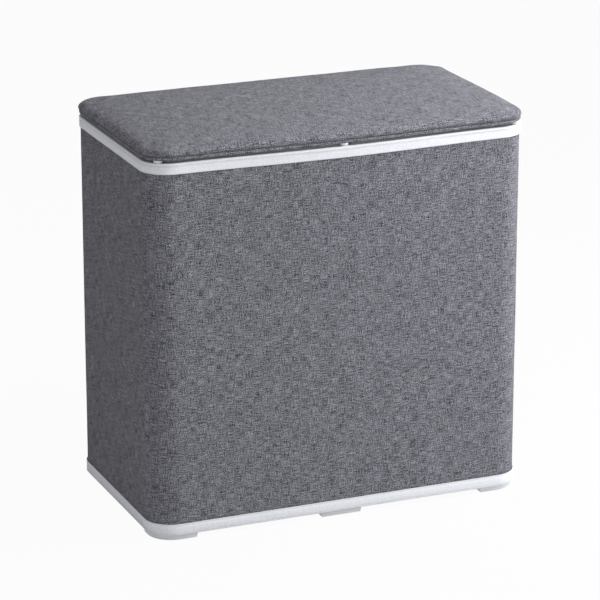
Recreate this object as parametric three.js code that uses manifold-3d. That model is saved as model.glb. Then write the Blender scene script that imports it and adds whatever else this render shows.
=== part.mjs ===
// Laundry hamper with one padded, hinged lid over two lift-out bins.
// Millimetres, Z up. The front faces -Y and the origin is on the floor, under the middle of the part.

import * as THREE from 'three';
import { mergeVertices } from 'three/addons/utils/BufferGeometryUtils.js';
import Module from 'manifold-3d';

const wasm = await Module();
wasm.setup();

// Plan of the cloth face, and the way its front relaxes outwards towards the top
const bodyWidth = 605;
const bodyDepth = 339;
const cornerRadius = 41;
const wallBow = 9;
const lidBow = 6;

// Heights, from the floor up
const footHeight = 7.8;
const floorThickness = 2.2;
const bindingHeight = 16;
const clothHeight = 540;
const lidGap = 4.8;

// Wall sandwich, from the outside in
const tapeThickness = 1.1;
const clothThickness = 0.8;
const boardThickness = 3;
const seamSlit = 0.8;

// Running and seating clearances
const fitGap = 0.3;
const knuckleGap = 0.4;

// Overrun of every cutter past the face that it opens
const overrun = 1;

// Facets of round work
const cornerSteps = 6;
const binCornerSteps = 5;
const bowSteps = 8;
const smallSides = 8;
const barrelSides = 12;
const bumperSides = 12;

// Levels of the walls, as shares of their height
const wallLevelShares = [0, 0.4, 0.75, 1];

// Levels and offsets that follow from the sizes above. An offset is measured outwards from the cloth face.
const floorTop = footHeight + floorThickness;
const wallTop = floorTop + bindingHeight + clothHeight + bindingHeight;
const lidUnder = wallTop + lidGap;
const boardOuter = -(clothThickness + fitGap);
const boardInner = boardOuter - boardThickness;
const tapeOuter = fitGap + tapeThickness;
const liningFace = boardInner - fitGap;
const tapeInner = liningFace - tapeThickness;
const boardBottom = floorTop + tapeThickness + fitGap;
const boardTop = wallTop - tapeThickness - fitGap;

// Finishes
function finish(color, roughness, metalness = 0) {
  return new THREE.MeshStandardMaterial({ color, roughness, metalness });
}
const greyCloth = finish(0x6f7175, 0.95);
const whiteTape = finish(0xe9ebf0, 0.85);
const palePlastic = finish(0xc9cacd, 0.5);
const innerPlastic = finish(0xdcdde0, 0.45);
const fibreboard = finish(0x8a6f52, 0.9);
const foam = finish(0xe6dfc8, 0.95);
const liningCloth = finish(0x3f4145, 0.95);
const bagCloth = finish(0xd9d8d2, 0.95);
const webbing = finish(0x8d9096, 0.9);
const steel = finish(0xb9bcc0, 0.35, 1);
const whiteWire = finish(0xf0f0ee, 0.4, 0.2);
const clearPlastic = finish(0xf2f4f6, 0.2);

// Geometry helpers

function solid(geometry) {
  geometry.deleteAttribute('normal');
  geometry.deleteAttribute('uv');
  const merged = mergeVertices(geometry);
  const corners = merged.index.array;
  const kept = [];
  for (let i = 0; i < corners.length; i += 3) {
    const [a, b, c] = [corners[i], corners[i + 1], corners[i + 2]];
    if (a !== b && b !== c && c !== a) kept.push(a, b, c);
  }
  return new wasm.Manifold(new wasm.Mesh({
    numProp: 3,
    vertProperties: new Float32Array(merged.attributes.position.array),
    triVerts: new Uint32Array(kept),
  }));
}

function toGeometry(body) {
  const mesh = body.getMesh();
  const geometry = new THREE.BufferGeometry();
  geometry.setAttribute('position', new THREE.BufferAttribute(mesh.vertProperties, 3));
  geometry.setIndex(new THREE.BufferAttribute(mesh.triVerts, 1));
  geometry.computeVertexNormals();
  return geometry;
}

function signedVolume(points, triangles) {
  let volume = 0;
  for (let i = 0; i < triangles.length; i += 3) {
    const [a, b, c] = [points[triangles[i]], points[triangles[i + 1]], points[triangles[i + 2]]];
    volume += a.clone().cross(b).dot(c) / 6;
  }
  return volume;
}

// A body through a chain of level rings that all have the same number of points.
// Its two ends are capped, or joined to each other when the chain is closed. The diagonal of each face runs
// the same way whether the chain climbs or falls there, so that nested bowed walls keep their gap.
function chain(turnedRings, closed = false) {
  const flat = (ring) => ring.map((p) => new THREE.Vector2(p.x, p.y));
  const clockwise = THREE.ShapeUtils.isClockWise(flat(turnedRings[0]));
  const rings = clockwise ? turnedRings.map((ring) => ring.slice().reverse()) : turnedRings;
  const size = rings[0].length;
  const points = rings.flat();
  const triangles = [];
  const last = closed ? rings.length : rings.length - 1;
  for (let i = 0; i < last; i++) {
    const low = i * size;
    const high = ((i + 1) % rings.length) * size;
    for (let j = 0; j < size; j++) {
      const next = (j + 1) % size;
      if (points[low].z <= points[high].z) {
        triangles.push(low + j, low + next, high + next, low + j, high + next, high + j);
      } else {
        triangles.push(low + j, low + next, high + j, low + next, high + next, high + j);
      }
    }
  }
  if (!closed) {
    const top = (rings.length - 1) * size;
    for (const [a, b, c] of THREE.ShapeUtils.triangulateShape(flat(rings[0]), [])) triangles.push(c, b, a);
    for (const [a, b, c] of THREE.ShapeUtils.triangulateShape(flat(rings.at(-1)), [])) {
      triangles.push(top + a, top + b, top + c);
    }
  }
  if (signedVolume(points, triangles) < 0) triangles.reverse();
  const geometry = new THREE.BufferGeometry();
  geometry.setAttribute('position', new THREE.Float32BufferAttribute(points.flatMap((p) => p.toArray()), 3));
  geometry.setIndex(triangles);
  return solid(geometry);
}

function block(x0, x1, y0, y1, z0, z1) {
  const box = new THREE.BoxGeometry(x1 - x0, y1 - y0, z1 - z0);
  box.translate((x0 + x1) / 2, (y0 + y1) / 2, (z0 + z1) / 2);
  return solid(box);
}

// A block centred on x = 0
function spanX(half, y0, y1, z0, z1) {
  return block(-half, half, y0, y1, z0, z1);
}

// A turned body: profile points are [radius, height along the direction], both from the point at
function turned(profile, at, direction, sides) {
  const lathe = new THREE.LatheGeometry(profile.map(([r, h]) => new THREE.Vector2(r, h)), sides);
  const turn = new THREE.Quaternion().setFromUnitVectors(new THREE.Vector3(0, 1, 0), direction);
  lathe.applyQuaternion(turn);
  lathe.translate(at.x, at.y, at.z);
  return solid(lathe);
}

function rod(radius, at, direction, length, sides) {
  return turned([[0, 0], [radius, 0], [radius, length], [0, length]], at, direction, sides);
}

function sum(bodies) {
  return bodies.reduce((all, next) => all.add(next));
}

const along = {
  x: new THREE.Vector3(1, 0, 0),
  y: new THREE.Vector3(0, 1, 0),
  z: new THREE.Vector3(0, 0, 1),
};
const against = {
  x: along.x.clone().negate(),
  y: along.y.clone().negate(),
  z: along.z.clone().negate(),
};

// One ring of a rounded rectangle, anticlockwise from its front left corner.
// The front edge may bow outwards by bow, with its ends tangent to the corners.
function roundedRing(plan, offset, z, bow = 0) {
  const radius = Math.max(plan.radius + offset, plan.leastRadius);
  const left = plan.left - offset + radius;
  const right = plan.right + offset - radius;
  const front = plan.front - offset + radius;
  const back = plan.back + offset - radius;
  const ring = [];
  for (let k = 1; k < plan.frontSteps; k++) {
    const t = -1 + (2 * k) / plan.frontSteps;
    const x = (left + right) / 2 + t * (right - left) / 2;
    ring.push(new THREE.Vector3(x, front - radius - bow * Math.cos(t * Math.PI / 2) ** 2, z));
  }
  const corners = [[right, front, -0.5], [right, back, 0], [left, back, 0.5], [left, front, 1]];
  for (const [cx, cy, start] of corners) {
    for (let k = 0; k <= plan.cornerSteps; k++) {
      const angle = Math.PI * (start + k / plan.cornerSteps / 2);
      ring.push(new THREE.Vector3(cx + radius * Math.cos(angle), cy + radius * Math.sin(angle), z));
    }
  }
  return ring;
}

// Plan of the hamper's body, of which the lid is a copy
const leastRadius = 6;
const bodyPlan = {
  left: -bodyWidth / 2,
  right: bodyWidth / 2,
  front: -bodyDepth / 2,
  back: bodyDepth / 2,
  radius: cornerRadius,
  leastRadius,
  cornerSteps,
  frontSteps: bowSteps,
};

function bowAt(z) {
  return wallBow * ((z - floorTop) / (wallTop - floorTop)) ** 2;
}

// A ring of the body at an offset and a level. bowShare is 1 where it follows the bowed wall, 0 where straight.
function bodyRing(offset, z, bowShare = 1) {
  return roundedRing(bodyPlan, offset, z, bowShare * bowAt(z));
}

// A closed band round the body from its section, a list of [offset, z, bowShare]
function band(section) {
  return chain(section.map((point) => bodyRing(...point)), true);
}

const group = new THREE.Group();
function add(name, body, material) {
  const mesh = new THREE.Mesh(toGeometry(body), material);
  mesh.name = name;
  group.add(mesh);
}

// Screws and rivets: a domed head and a plain shank, from the seat that the head lies on
const screw = { headRadius: 3.1, headHeight: 0.9, headRim: 0.35, shank: 1.5 };
const rivet = { headRadius: 4, headHeight: 1.4, headRim: 0.5, shank: 1.75 };

function fastener(kind, seat, into, length) {
  const crown = kind.headRadius - kind.headRim - kind.headHeight / 2;
  return turned([
    [0, -kind.headHeight],
    [crown, -kind.headHeight],
    [kind.headRadius, -kind.headRim],
    [kind.headRadius, 0],
    [kind.shank, 0],
    [kind.shank, length],
    [0, length],
  ], seat, into, smallSides);
}

function fastenerHole(kind, seat, into, length) {
  const start = seat.clone().addScaledVector(into, -overrun);
  return rod(kind.shank + fitGap, start, into, length + overrun, smallSides);
}

// Base tray: one moulding with the floor, the flange under the wall, an upstand inside it, six feet and ribs
const trayEdge = -2;
const feet = {
  inset: 2.2,
  draft: 0.8,
  width: 20,
  wall: 2.5,
  roof: 2,
  cornerRunFront: 70,
  cornerRunSide: 56,
  middleRun: 68,
  rearRun: 72,
  rearRunSide: 30,
  rearSetback: 16,
  endSlope: 3,
};
const upstand = { wall: 2.4, height: 38, rimRound: 0.8 };
const underRib = { thickness: 2, depth: 5, columns: 5, rows: 3 };
const vent = { length: 84, width: 9, sides: 4 };

const upstandFace = tapeInner - fitGap;
const upstandBack = upstandFace - upstand.wall;
const upstandTop = floorTop + upstand.height;
const footInner = -(feet.inset + feet.width);

// A trapezoid prism that marks one foot, along x or along y. A solid foot widens by its end slope
// up to its top, and the hollow inside a foot keeps its width.
function footMark(centre, run, reach, alongX, hollow) {
  const shrink = hollow ? feet.wall : 0;
  const low = run / 2 - feet.endSlope - shrink;
  const high = hollow ? low : run / 2;
  const [bottom, top] = hollow ? [-2 * overrun, footHeight] : [-overrun, floorTop];
  const shape = new THREE.Shape([
    new THREE.Vector2(-low, bottom),
    new THREE.Vector2(low, bottom),
    new THREE.Vector2(high, top),
    new THREE.Vector2(-high, top),
  ]);
  const prism = new THREE.ExtrudeGeometry(shape, { depth: reach, bevelEnabled: false });
  prism.translate(0, 0, -reach / 2);
  prism.rotateX(Math.PI / 2);
  if (!alongX) prism.rotateZ(Math.PI / 2);
  prism.translate(centre.x, centre.y, 0);
  return solid(prism);
}

// The marks of all six feet, or of the hollows inside them. The front corner feet follow the whole corner,
// and the rear ones start inside it, so that the tray hides them from the sides in a view from above.
function allFootMarks(hollow) {
  const marks = [];
  for (const y of [bodyPlan.front, bodyPlan.back]) {
    marks.push(footMark({ x: 0, y }, feet.middleRun, 3 * feet.width, true, hollow));
  }
  for (const side of [-1, 1]) {
    const corner = { x: side * bodyWidth / 2, y: bodyPlan.front };
    marks.push(cornerMark(corner, 2 * feet.cornerRunFront, 2 * feet.cornerRunSide, hollow));
    const rearX = side * (bodyWidth / 2 - feet.rearSetback - feet.rearRun / 2);
    marks.push(cornerMark({ x: rearX, y: bodyPlan.back }, feet.rearRun, 2 * feet.rearRunSide, hollow));
  }
  return sum(marks);
}

// A corner foot is what lies within a run along the front or back and a run along the side
function cornerMark(centre, runX, runY, hollow) {
  const acrossMark = footMark({ x: centre.x, y: 0 }, runX, bodyDepth + cornerRadius, true, hollow);
  const sideMark = footMark({ x: 0, y: centre.y }, runY, bodyWidth + cornerRadius, false, hollow);
  return acrossMark.intersect(sideMark);
}

// The tray is too stiff to bow, so all its rings are straight in front
function trayRing([offset, z]) {
  return bodyRing(offset, z, 0);
}

function trayBand(section) {
  return chain(section.map(trayRing), true);
}

function footBand(outerTop, outerLow, inner, low, high) {
  return trayBand([[outerTop, high], [outerLow, low], [inner, low], [inner, high]]);
}

function baseTray() {
  const join = footHeight + floorThickness / 2;
  const plate = chain([[trayEdge, footHeight], [trayEdge, floorTop]].map(trayRing));
  const rim = trayBand([
    [upstandFace, join],
    [upstandFace, upstandTop - upstand.rimRound],
    [upstandFace - upstand.rimRound, upstandTop],
    [upstandBack + upstand.rimRound, upstandTop],
    [upstandBack, upstandTop - upstand.rimRound],
    [upstandBack, join],
  ]);
  const outer = footBand(-feet.inset, -feet.inset - feet.draft, footInner, 0, join);
  const shoes = outer.intersect(allFootMarks(false));
  const hollowOuter = -(feet.inset + feet.draft + feet.wall);
  const hollowTop = footHeight - feet.roof;
  const hollow = footBand(hollowOuter, hollowOuter, footInner + feet.wall, -overrun, hollowTop);
  const hollows = hollow.intersect(allFootMarks(true));
  return sum([plate, rim, shoes, underRibs(join)]).subtract(hollows).subtract(vents())
    .subtract(baseRivetHoles());
}

// The cells between the ribs, as the middle of each one: they fill the tray's middle, inside the feet
const ribReachX = bodyWidth / 2 + footInner;
const ribReachY = bodyDepth / 2 + footInner;

function cellCentres() {
  const centres = [];
  for (let column = 0; column < underRib.columns; column++) {
    for (let row = 0; row < underRib.rows; row++) {
      centres.push([
        ribReachX * (-1 + (2 * column + 1) / underRib.columns),
        ribReachY * (-1 + (2 * row + 1) / underRib.rows),
      ]);
    }
  }
  return centres;
}

// The ribs under the floor: one slab with rounded corners, less the cells that its ribs leave
function underRibs(join) {
  const low = footHeight - underRib.depth;
  const half = underRib.thickness / 2;
  const slab = chain([[footInner + half, low], [footInner + half, join]].map(trayRing));
  let cells = chain([[footInner - half, low - overrun], [footInner - half, join + overrun]].map(trayRing));
  const [bottom, top] = [low - 2 * overrun, join + 2 * overrun];
  for (let k = 1; k < underRib.columns; k++) {
    const x = ribReachX * (-1 + (2 * k) / underRib.columns);
    cells = cells.subtract(block(x - half, x + half, -bodyDepth, bodyDepth, bottom, top));
  }
  for (let k = 1; k < underRib.rows; k++) {
    const y = ribReachY * (-1 + (2 * k) / underRib.rows);
    cells = cells.subtract(block(-bodyWidth, bodyWidth, y - half, y + half, bottom, top));
  }
  return slab.subtract(cells);
}

// One long vent with round ends in the middle of each cell
function vents() {
  const straight = (vent.length - vent.width) / 2;
  const outline = new THREE.Shape();
  outline.absarc(straight, 0, vent.width / 2, -Math.PI / 2, Math.PI / 2);
  outline.absarc(-straight, 0, vent.width / 2, Math.PI / 2, 1.5 * Math.PI);
  return sum(cellCentres().map(([x, y]) => {
    const slot = new THREE.ExtrudeGeometry(outline, {
      depth: floorThickness + 2 * overrun,
      bevelEnabled: false,
      curveSegments: vent.sides,
    });
    slot.translate(x, y, footHeight - overrun);
    return solid(slot);
  }));
}

// Rivets through the upstand into the wall board: two in front, two behind and one on each side
const baseRivetRise = 30;
const baseRivetSpread = 150;

function baseRivets() {
  const z = floorTop + baseRivetRise;
  const y = bodyDepth / 2 + upstandBack;
  const x = bodyWidth / 2 + upstandBack;
  return [
    ['front_left', new THREE.Vector3(-baseRivetSpread, -y, z), against.y],
    ['front_right', new THREE.Vector3(baseRivetSpread, -y, z), against.y],
    ['rear_left', new THREE.Vector3(-baseRivetSpread, y, z), along.y],
    ['rear_right', new THREE.Vector3(baseRivetSpread, y, z), along.y],
    ['left', new THREE.Vector3(-x, 0, z), against.x],
    ['right', new THREE.Vector3(x, 0, z), along.x],
  ];
}

// A rivet ends inside the board, this far short of its outer face
const shankRest = 0.6;
const baseRivetLength = boardOuter - shankRest - upstandBack;

function baseRivetHoles() {
  return sum(baseRivets().map(([, seat, into]) => fastenerHole(rivet, seat, into, baseRivetLength + overrun)));
}

// Rim frame: a moulded ring inside the top of the wall, with the ledge that both bins hang on
const ledge = { drop: 34, thickness: 3, reach: 24, lip: 8, lipWall: 2.2 };
const leg = { wall: 2.4, below: 14, topGap: 0.5 };
const gusset = { thickness: 2, height: 9, width: 11, spreadNear: 55, spreadFar: 165, side: 40 };
const ledgeTop = wallTop - ledge.drop;
const ledgeUnder = ledgeTop - ledge.thickness;
const legInner = liningFace - leg.wall;
const legTop = wallTop - bindingHeight - leg.topGap;
const legBottom = ledgeTop - leg.below;
const ledgeEdge = -ledge.reach;

// Centre rail: an inverted channel that bridges the ledge from front to back, sunk flush at both ends
const rail = { width: 28, thickness: 2.4, height: 16, tab: 12, wall: 2.2, ribs: 3 };
const boss = { margin: 4, depth: 7, run: 16 };
const railHalf = rail.width / 2;
const railEnd = bodyDepth / 2 - ledge.reach + rail.tab;
const railScrewY = bodyDepth / 2 - ledge.reach + rail.tab / 2;
const railScrewLength = rail.thickness + boss.depth;

// Where the straight or bowed front of the body lies at x, for pieces that meet it
function frontAt(x, offset, z) {
  const reach = bodyWidth / 2 - cornerRadius;
  const t = Math.min(Math.abs(x) / reach, 1);
  return -(bodyDepth / 2 + offset) - bowAt(z) * Math.cos(t * Math.PI / 2) ** 2;
}

// A triangular web between the leg and the underside of the ledge, in the plane across the wall
function gussetAt(x, y, turn) {
  const root = leg.wall / 2;
  const shape = new THREE.Shape([
    new THREE.Vector2(-root, 0),
    new THREE.Vector2(gusset.width, 0),
    new THREE.Vector2(0, -gusset.height),
    new THREE.Vector2(-root, -gusset.height),
  ]);
  const web = new THREE.ExtrudeGeometry(shape, { depth: gusset.thickness, bevelEnabled: false });
  web.translate(0, ledge.thickness / 2, -gusset.thickness / 2);
  web.rotateX(Math.PI / 2);
  web.rotateZ(turn);
  web.translate(x, y, ledgeUnder);
  return solid(web);
}

function gussets() {
  const webs = [];
  const sideX = bodyWidth / 2 + legInner;
  for (const spread of [gusset.spreadNear, gusset.spreadFar]) {
    for (const x of [-spread, spread]) {
      webs.push(gussetAt(x, frontAt(x, legInner, legBottom), Math.PI / 2));
      webs.push(gussetAt(x, bodyDepth / 2 + legInner, -Math.PI / 2));
    }
  }
  for (const y of [-gusset.side, gusset.side]) {
    webs.push(gussetAt(-sideX, y, 0), gussetAt(sideX, y, Math.PI));
  }
  return sum(webs);
}

function rimFrame() {
  const ring = band([
    [liningFace, legBottom],
    [liningFace, legTop],
    [legInner, legTop],
    [legInner, ledgeTop],
    [ledgeEdge, ledgeTop, 0],
    [ledgeEdge, ledgeTop - ledge.lip, 0],
    [ledgeEdge + ledge.lipWall, ledgeTop - ledge.lip, 0],
    [ledgeEdge + ledge.lipWall, ledgeUnder, 0],
    [legInner, ledgeUnder],
    [legInner, legBottom],
  ]);
  const edge = bodyDepth / 2 - ledge.reach;
  const bossHalf = railHalf + boss.margin;
  const pocketHalf = railHalf + fitGap;
  const bossLow = ledgeTop - rail.thickness - boss.depth;
  const pocketFloor = ledgeTop - rail.thickness;
  const bosses = [];
  const pockets = [];
  for (const side of [-1, 1]) {
    const [near, far] = [side * edge, side * (edge + boss.run)].sort((a, b) => a - b);
    bosses.push(spanX(bossHalf, near, far, bossLow, ledgeUnder + ledge.thickness / 2));
    const [start, end] = [side * (edge - overrun), side * (railEnd + fitGap)].sort((a, b) => a - b);
    pockets.push(spanX(pocketHalf, start, end, pocketFloor, ledgeTop + overrun));
  }
  return sum([ring, gussets(), ...bosses]).subtract(sum(pockets)).subtract(railScrewHoles())
    .subtract(rimRivetHoles());
}

function railScrews() {
  return [
    ['front', new THREE.Vector3(0, -railScrewY, ledgeTop)],
    ['rear', new THREE.Vector3(0, railScrewY, ledgeTop)],
  ];
}

function railScrewHoles() {
  return sum(railScrews().map(([, seat]) => fastenerHole(screw, seat, against.z, railScrewLength + overrun)));
}

function centerRail() {
  const webEnd = bodyDepth / 2 - ledge.reach - fitGap;
  const low = ledgeTop - rail.height;
  const join = ledgeTop - rail.thickness / 2;
  const parts = [spanX(railHalf, -railEnd, railEnd, ledgeTop - rail.thickness, ledgeTop)];
  for (const side of [-1, 1]) {
    const [x0, x1] = [side * (railHalf - rail.wall), side * railHalf].sort((a, b) => a - b);
    parts.push(block(x0, x1, -webEnd, webEnd, low, join));
  }
  for (let k = 0; k < rail.ribs; k++) {
    const y = webEnd * (-1 + (2 * (k + 1)) / (rail.ribs + 1));
    parts.push(spanX(railHalf - rail.wall / 2, y - rail.wall / 2, y + rail.wall / 2, low, join));
  }
  return sum(parts).subtract(railScrewHoles());
}

// Rivets that hold the rim frame's leg to the wall board, below the ledge
const rimRivet = { drop: 9, sideSpread: 80, rearSpread: 110 };
const rimRivetLength = boardOuter - shankRest - legInner;

function rimRivets() {
  const z = ledgeTop - rimRivet.drop;
  const x = bodyWidth / 2 + legInner;
  const y = bodyDepth / 2 + legInner;
  return [
    ['left_front', new THREE.Vector3(-x, -rimRivet.sideSpread, z), against.x],
    ['left_rear', new THREE.Vector3(-x, rimRivet.sideSpread, z), against.x],
    ['right_front', new THREE.Vector3(x, -rimRivet.sideSpread, z), along.x],
    ['right_rear', new THREE.Vector3(x, rimRivet.sideSpread, z), along.x],
    ['rear_left', new THREE.Vector3(-rimRivet.rearSpread, y, z), along.y],
    ['rear_right', new THREE.Vector3(rimRivet.rearSpread, y, z), along.y],
  ];
}

function rimRivetHoles() {
  return sum(rimRivets().map(([, seat, into]) => fastenerHole(rivet, seat, into, rimRivetLength + overrun)));
}

// Walls: a wrapped fibreboard whose ends butt at the back, and the cloth outside it
function wallSheet(outer, inner) {
  const levels = wallLevelShares.map((share) => boardBottom + share * (boardTop - boardBottom));
  const section = [
    ...levels.map((z) => [outer, z]),
    ...levels.reverse().map((z) => [inner, z]),
  ];
  return band(section);
}

function wallBoard() {
  const slit = spanX(seamSlit / 2, 0, bodyDepth, 0, wallTop + overrun);
  return wallSheet(boardOuter, boardInner).subtract(slit).subtract(baseRivetHoles())
    .subtract(rimRivetHoles()).subtract(bodyHingeHoles());
}

// The strip that is glued over the butt joint, between the tray's upstand and the rim frame
const jointStrip = { width: 40, thickness: 1.5, endGap: 2 };

function backJointStrip() {
  const face = bodyDepth / 2 + liningFace;
  return spanX(jointStrip.width / 2, face - jointStrip.thickness, face,
    upstandTop + jointStrip.endGap, legBottom - jointStrip.endGap);
}

// Bindings: a woven tape folded over the edge of the wall. The top one has a rolled edge and a groove beside it.
const roll = { bulge: 0.3, height: 2.8, groove: 0.6, grooveDepth: 0.5, round: 0.8 };

// up is 1 for the top edge and -1 for the bottom edge
function binding(edge, up) {
  const level = (fall) => edge - up * fall;
  const rolledEdge = [
    [tapeOuter, level(roll.height + 2 * roll.groove)],
    [tapeOuter - roll.grooveDepth, level(roll.height + roll.groove)],
    [tapeOuter + roll.bulge, level(roll.height)],
    [tapeOuter + roll.bulge, level(roll.round)],
    [tapeOuter + roll.bulge - roll.round, level(0)],
  ];
  const plainEdge = [[tapeOuter, level(roll.round)], [tapeOuter - roll.round, level(0)]];
  const section = [
    [fitGap, level(bindingHeight)],
    [tapeOuter, level(bindingHeight)],
    ...(up > 0 ? rolledEdge : plainEdge),
    [tapeInner + roll.round, level(0)],
    [tapeInner, level(roll.round)],
    [tapeInner, level(bindingHeight)],
    [liningFace, level(bindingHeight)],
    [liningFace, level(tapeThickness)],
    [fitGap, level(tapeThickness)],
  ];
  return band(section);
}

// Lid plan: the body's outline, a little prouder, with less bow in front
const lidLip = 1.5;
const lidPlan = { ...bodyPlan };

function lidRing(offset, z) {
  return roundedRing(lidPlan, lidLip + offset, lidUnder + z, lidBow);
}

// The lid's side, from its underside to the middle of its crown: [offset from the lip's face, height]
const lip = { edge: 0.8, height: 4, creaseDepth: 1.5, creaseHeight: 1.6 };
const pad = { bulge: 1.6, rollWidth: 10, rollHeight: 11.6, crownReach: 117, crownHeight: 5.8 };
const rollStartTurn = -30;
const rollTurns = 6;
const crownShares = [0.08, 0.27, 0.6, 1];

function lidProfile() {
  const base = lip.height + lip.creaseHeight;
  const points = [
    [-lip.edge, 0],
    [0, lip.edge],
    [0, lip.height],
    [-lip.creaseDepth, lip.height + lip.creaseHeight / 2],
  ];
  const start = THREE.MathUtils.degToRad(rollStartTurn);
  for (let k = 0; k <= rollTurns; k++) {
    const turn = start + (k / rollTurns) * (Math.PI / 2 - start);
    const rise = (Math.sin(turn) - Math.sin(start)) / (1 - Math.sin(start));
    points.push([pad.bulge - pad.rollWidth * (1 - Math.cos(turn)), base + pad.rollHeight * rise]);
  }
  for (const share of crownShares) {
    points.push([
      pad.bulge - pad.rollWidth - share * pad.crownReach,
      base + pad.rollHeight + pad.crownHeight * (1 - (1 - share) ** 2),
    ]);
  }
  return points;
}

// The part of the side that the pad fills, from the crease up
function aboveCrease() {
  return lidProfile().slice(3);
}

// A side drawn in by a distance square to each stretch
function drawnIn(profile, distance) {
  return profile.map((point, i) => {
    const before = profile[Math.max(i - 1, 0)];
    const after = profile[Math.min(i + 1, profile.length - 1)];
    const run = new THREE.Vector2(after[0] - before[0], after[1] - before[1]).normalize();
    return [point[0] - run.y * distance, point[1] + run.x * distance];
  });
}

// Lid board, pad, cover and liner
const lidCover = { thickness: 1, turnIn: 18 };
const lidBoardThickness = 3;
const lidBoardLow = lidCover.thickness + fitGap;
const lidBoardTop = lidBoardLow + lidBoardThickness;
const lidBoardEdge = -(lidCover.thickness + fitGap);

function lidBoard() {
  return chain([lidRing(lidBoardEdge, lidBoardLow), lidRing(lidBoardEdge, lidBoardTop)])
    .subtract(lidHoles());
}

function lidPad() {
  const foot = -(lip.creaseDepth + lidCover.thickness + fitGap);
  const side = drawnIn(aboveCrease(), lidCover.thickness + fitGap);
  return chain([[foot, lidBoardTop], ...side].map((point) => lidRing(...point)));
}

function lidCoverShell() {
  const outer = lidProfile();
  const flange = -lidCover.turnIn;
  const inside = drawnIn(aboveCrease(), lidCover.thickness);
  const shell = [
    ...outer.slice().reverse(),
    [flange, 0],
    [flange, lidCover.thickness],
    [-lidCover.thickness, lidCover.thickness],
    [-lidCover.thickness, lip.height],
    ...inside,
  ];
  return chain(shell.map((point) => lidRing(...point))).subtract(lidHoles());
}

function lidLiner() {
  const edge = -(lidCover.turnIn + fitGap);
  return chain([lidRing(edge, 0), lidRing(edge, lidCover.thickness)]);
}

// Bumpers: three clear buttons under the front of the lid, which stand on the top binding when it is shut
const bumper = {
  radius: 7,
  footRadius: 6,
  shoulder: 1.6,
  waist: 0.6,
  pegRadius: 2.5,
  pegLength: 3.4,
  cornerTurn: 50,
};

function bumperPlaces() {
  const turn = THREE.MathUtils.degToRad(bumper.cornerTurn);
  const reach = cornerRadius + lidLip - bumper.radius;
  const x = bodyWidth / 2 - cornerRadius + reach * Math.cos(turn);
  const y = -(bodyDepth / 2 - cornerRadius + reach * Math.sin(turn));
  return [
    ['left', new THREE.Vector3(-x, y, lidUnder)],
    ['middle', new THREE.Vector3(0, -(bodyDepth / 2 + lidLip + lidBow - bumper.radius), lidUnder)],
    ['right', new THREE.Vector3(x, y, lidUnder)],
  ];
}

function bumperButton(at) {
  const foot = -(lidGap - fitGap);
  return turned([
    [0, foot],
    [bumper.footRadius, foot],
    [bumper.radius, foot + bumper.shoulder],
    [bumper.radius, -bumper.waist],
    [bumper.footRadius, 0],
    [bumper.pegRadius, 0],
    [bumper.pegRadius, bumper.pegLength],
    [0, bumper.pegLength],
  ], at, along.z, bumperSides);
}

function lidHoles() {
  const pegs = bumperPlaces().map(([, at]) => {
    const start = at.clone().addScaledVector(along.z, -overrun);
    return rod(bumper.pegRadius + fitGap, start, along.z, overrun + lidBoardTop + fitGap / 2, bumperSides);
  });
  const screws = lidHingeScrews().map(([, seat]) => fastenerHole(screw, seat, along.z, lidScrewReach));
  return sum([...pegs, ...screws]);
}

// Hinges: two steel butt hinges in the gap behind. The fixed leaf turns down inside the wall and the other
// lies under the lid, so the knuckle is flush with the back and the lid leans a little past upright.
const hinge = {
  spread: 170,
  width: 50,
  middle: 16,
  thickness: 1.1,
  lidLeaf: 18,
  setback: 2,
  pinRadius: 0.9,
  pinHead: 1.7,
  pinHeadLength: 0.8,
  screwSpread: 14,
  lidScrewIn: 13,
  bodyScrewDrop: 9,
};
const pinY = bodyDepth / 2 + lidLip - hinge.setback;
const pinZ = wallTop + lidGap / 2;
const barrelRadius = lidGap / 2 - fitGap;
const boreRadius = hinge.pinRadius + fitGap;
const leafReach = hinge.setback + knuckleGap;
const lidScrewShare = 0.8;
const lidScrewLength = hinge.thickness + lidBoardLow + lidScrewShare * lidBoardThickness;
const lidScrewReach = hinge.thickness + lidBoardTop + fitGap / 2;

// The fixed leaf's inside face, where its screws seat
const bodyLeafFace = tapeInner - fitGap - hinge.thickness;
const bodyScrewLength = boardOuter - shankRest - bodyLeafFace;

function hingeCentres() {
  return [['left', -hinge.spread], ['right', hinge.spread]];
}

function lidHingeScrews() {
  const seats = [];
  for (const [side, x] of hingeCentres()) {
    for (const [place, sign] of [['outer', Math.sign(x)], ['inner', -Math.sign(x)]]) {
      const seat = new THREE.Vector3(x + sign * hinge.screwSpread, pinY - hinge.lidScrewIn,
        lidUnder - hinge.thickness);
      seats.push([`${side}_${place}`, seat]);
    }
  }
  return seats;
}

function bodyHingeScrews() {
  const seats = [];
  for (const [side, x] of hingeCentres()) {
    for (const [place, sign] of [['outer', Math.sign(x)], ['inner', -Math.sign(x)]]) {
      const seat = new THREE.Vector3(x + sign * hinge.screwSpread, bodyDepth / 2 + bodyLeafFace,
        wallTop - hinge.bodyScrewDrop);
      seats.push([`${side}_${place}`, seat]);
    }
  }
  return seats;
}

function bodyHingeHoles() {
  return sum(bodyHingeScrews().map(([, seat]) => fastenerHole(screw, seat, along.y, bodyScrewLength + overrun)));
}

function barrel(x0, x1) {
  return rod(barrelRadius, new THREE.Vector3(x0, pinY, pinZ), along.x, x1 - x0, barrelSides);
}

function bore(x) {
  const half = hinge.width / 2 + overrun;
  return rod(boreRadius, new THREE.Vector3(x - half, pinY, pinZ), along.x, 2 * half, barrelSides);
}

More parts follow.
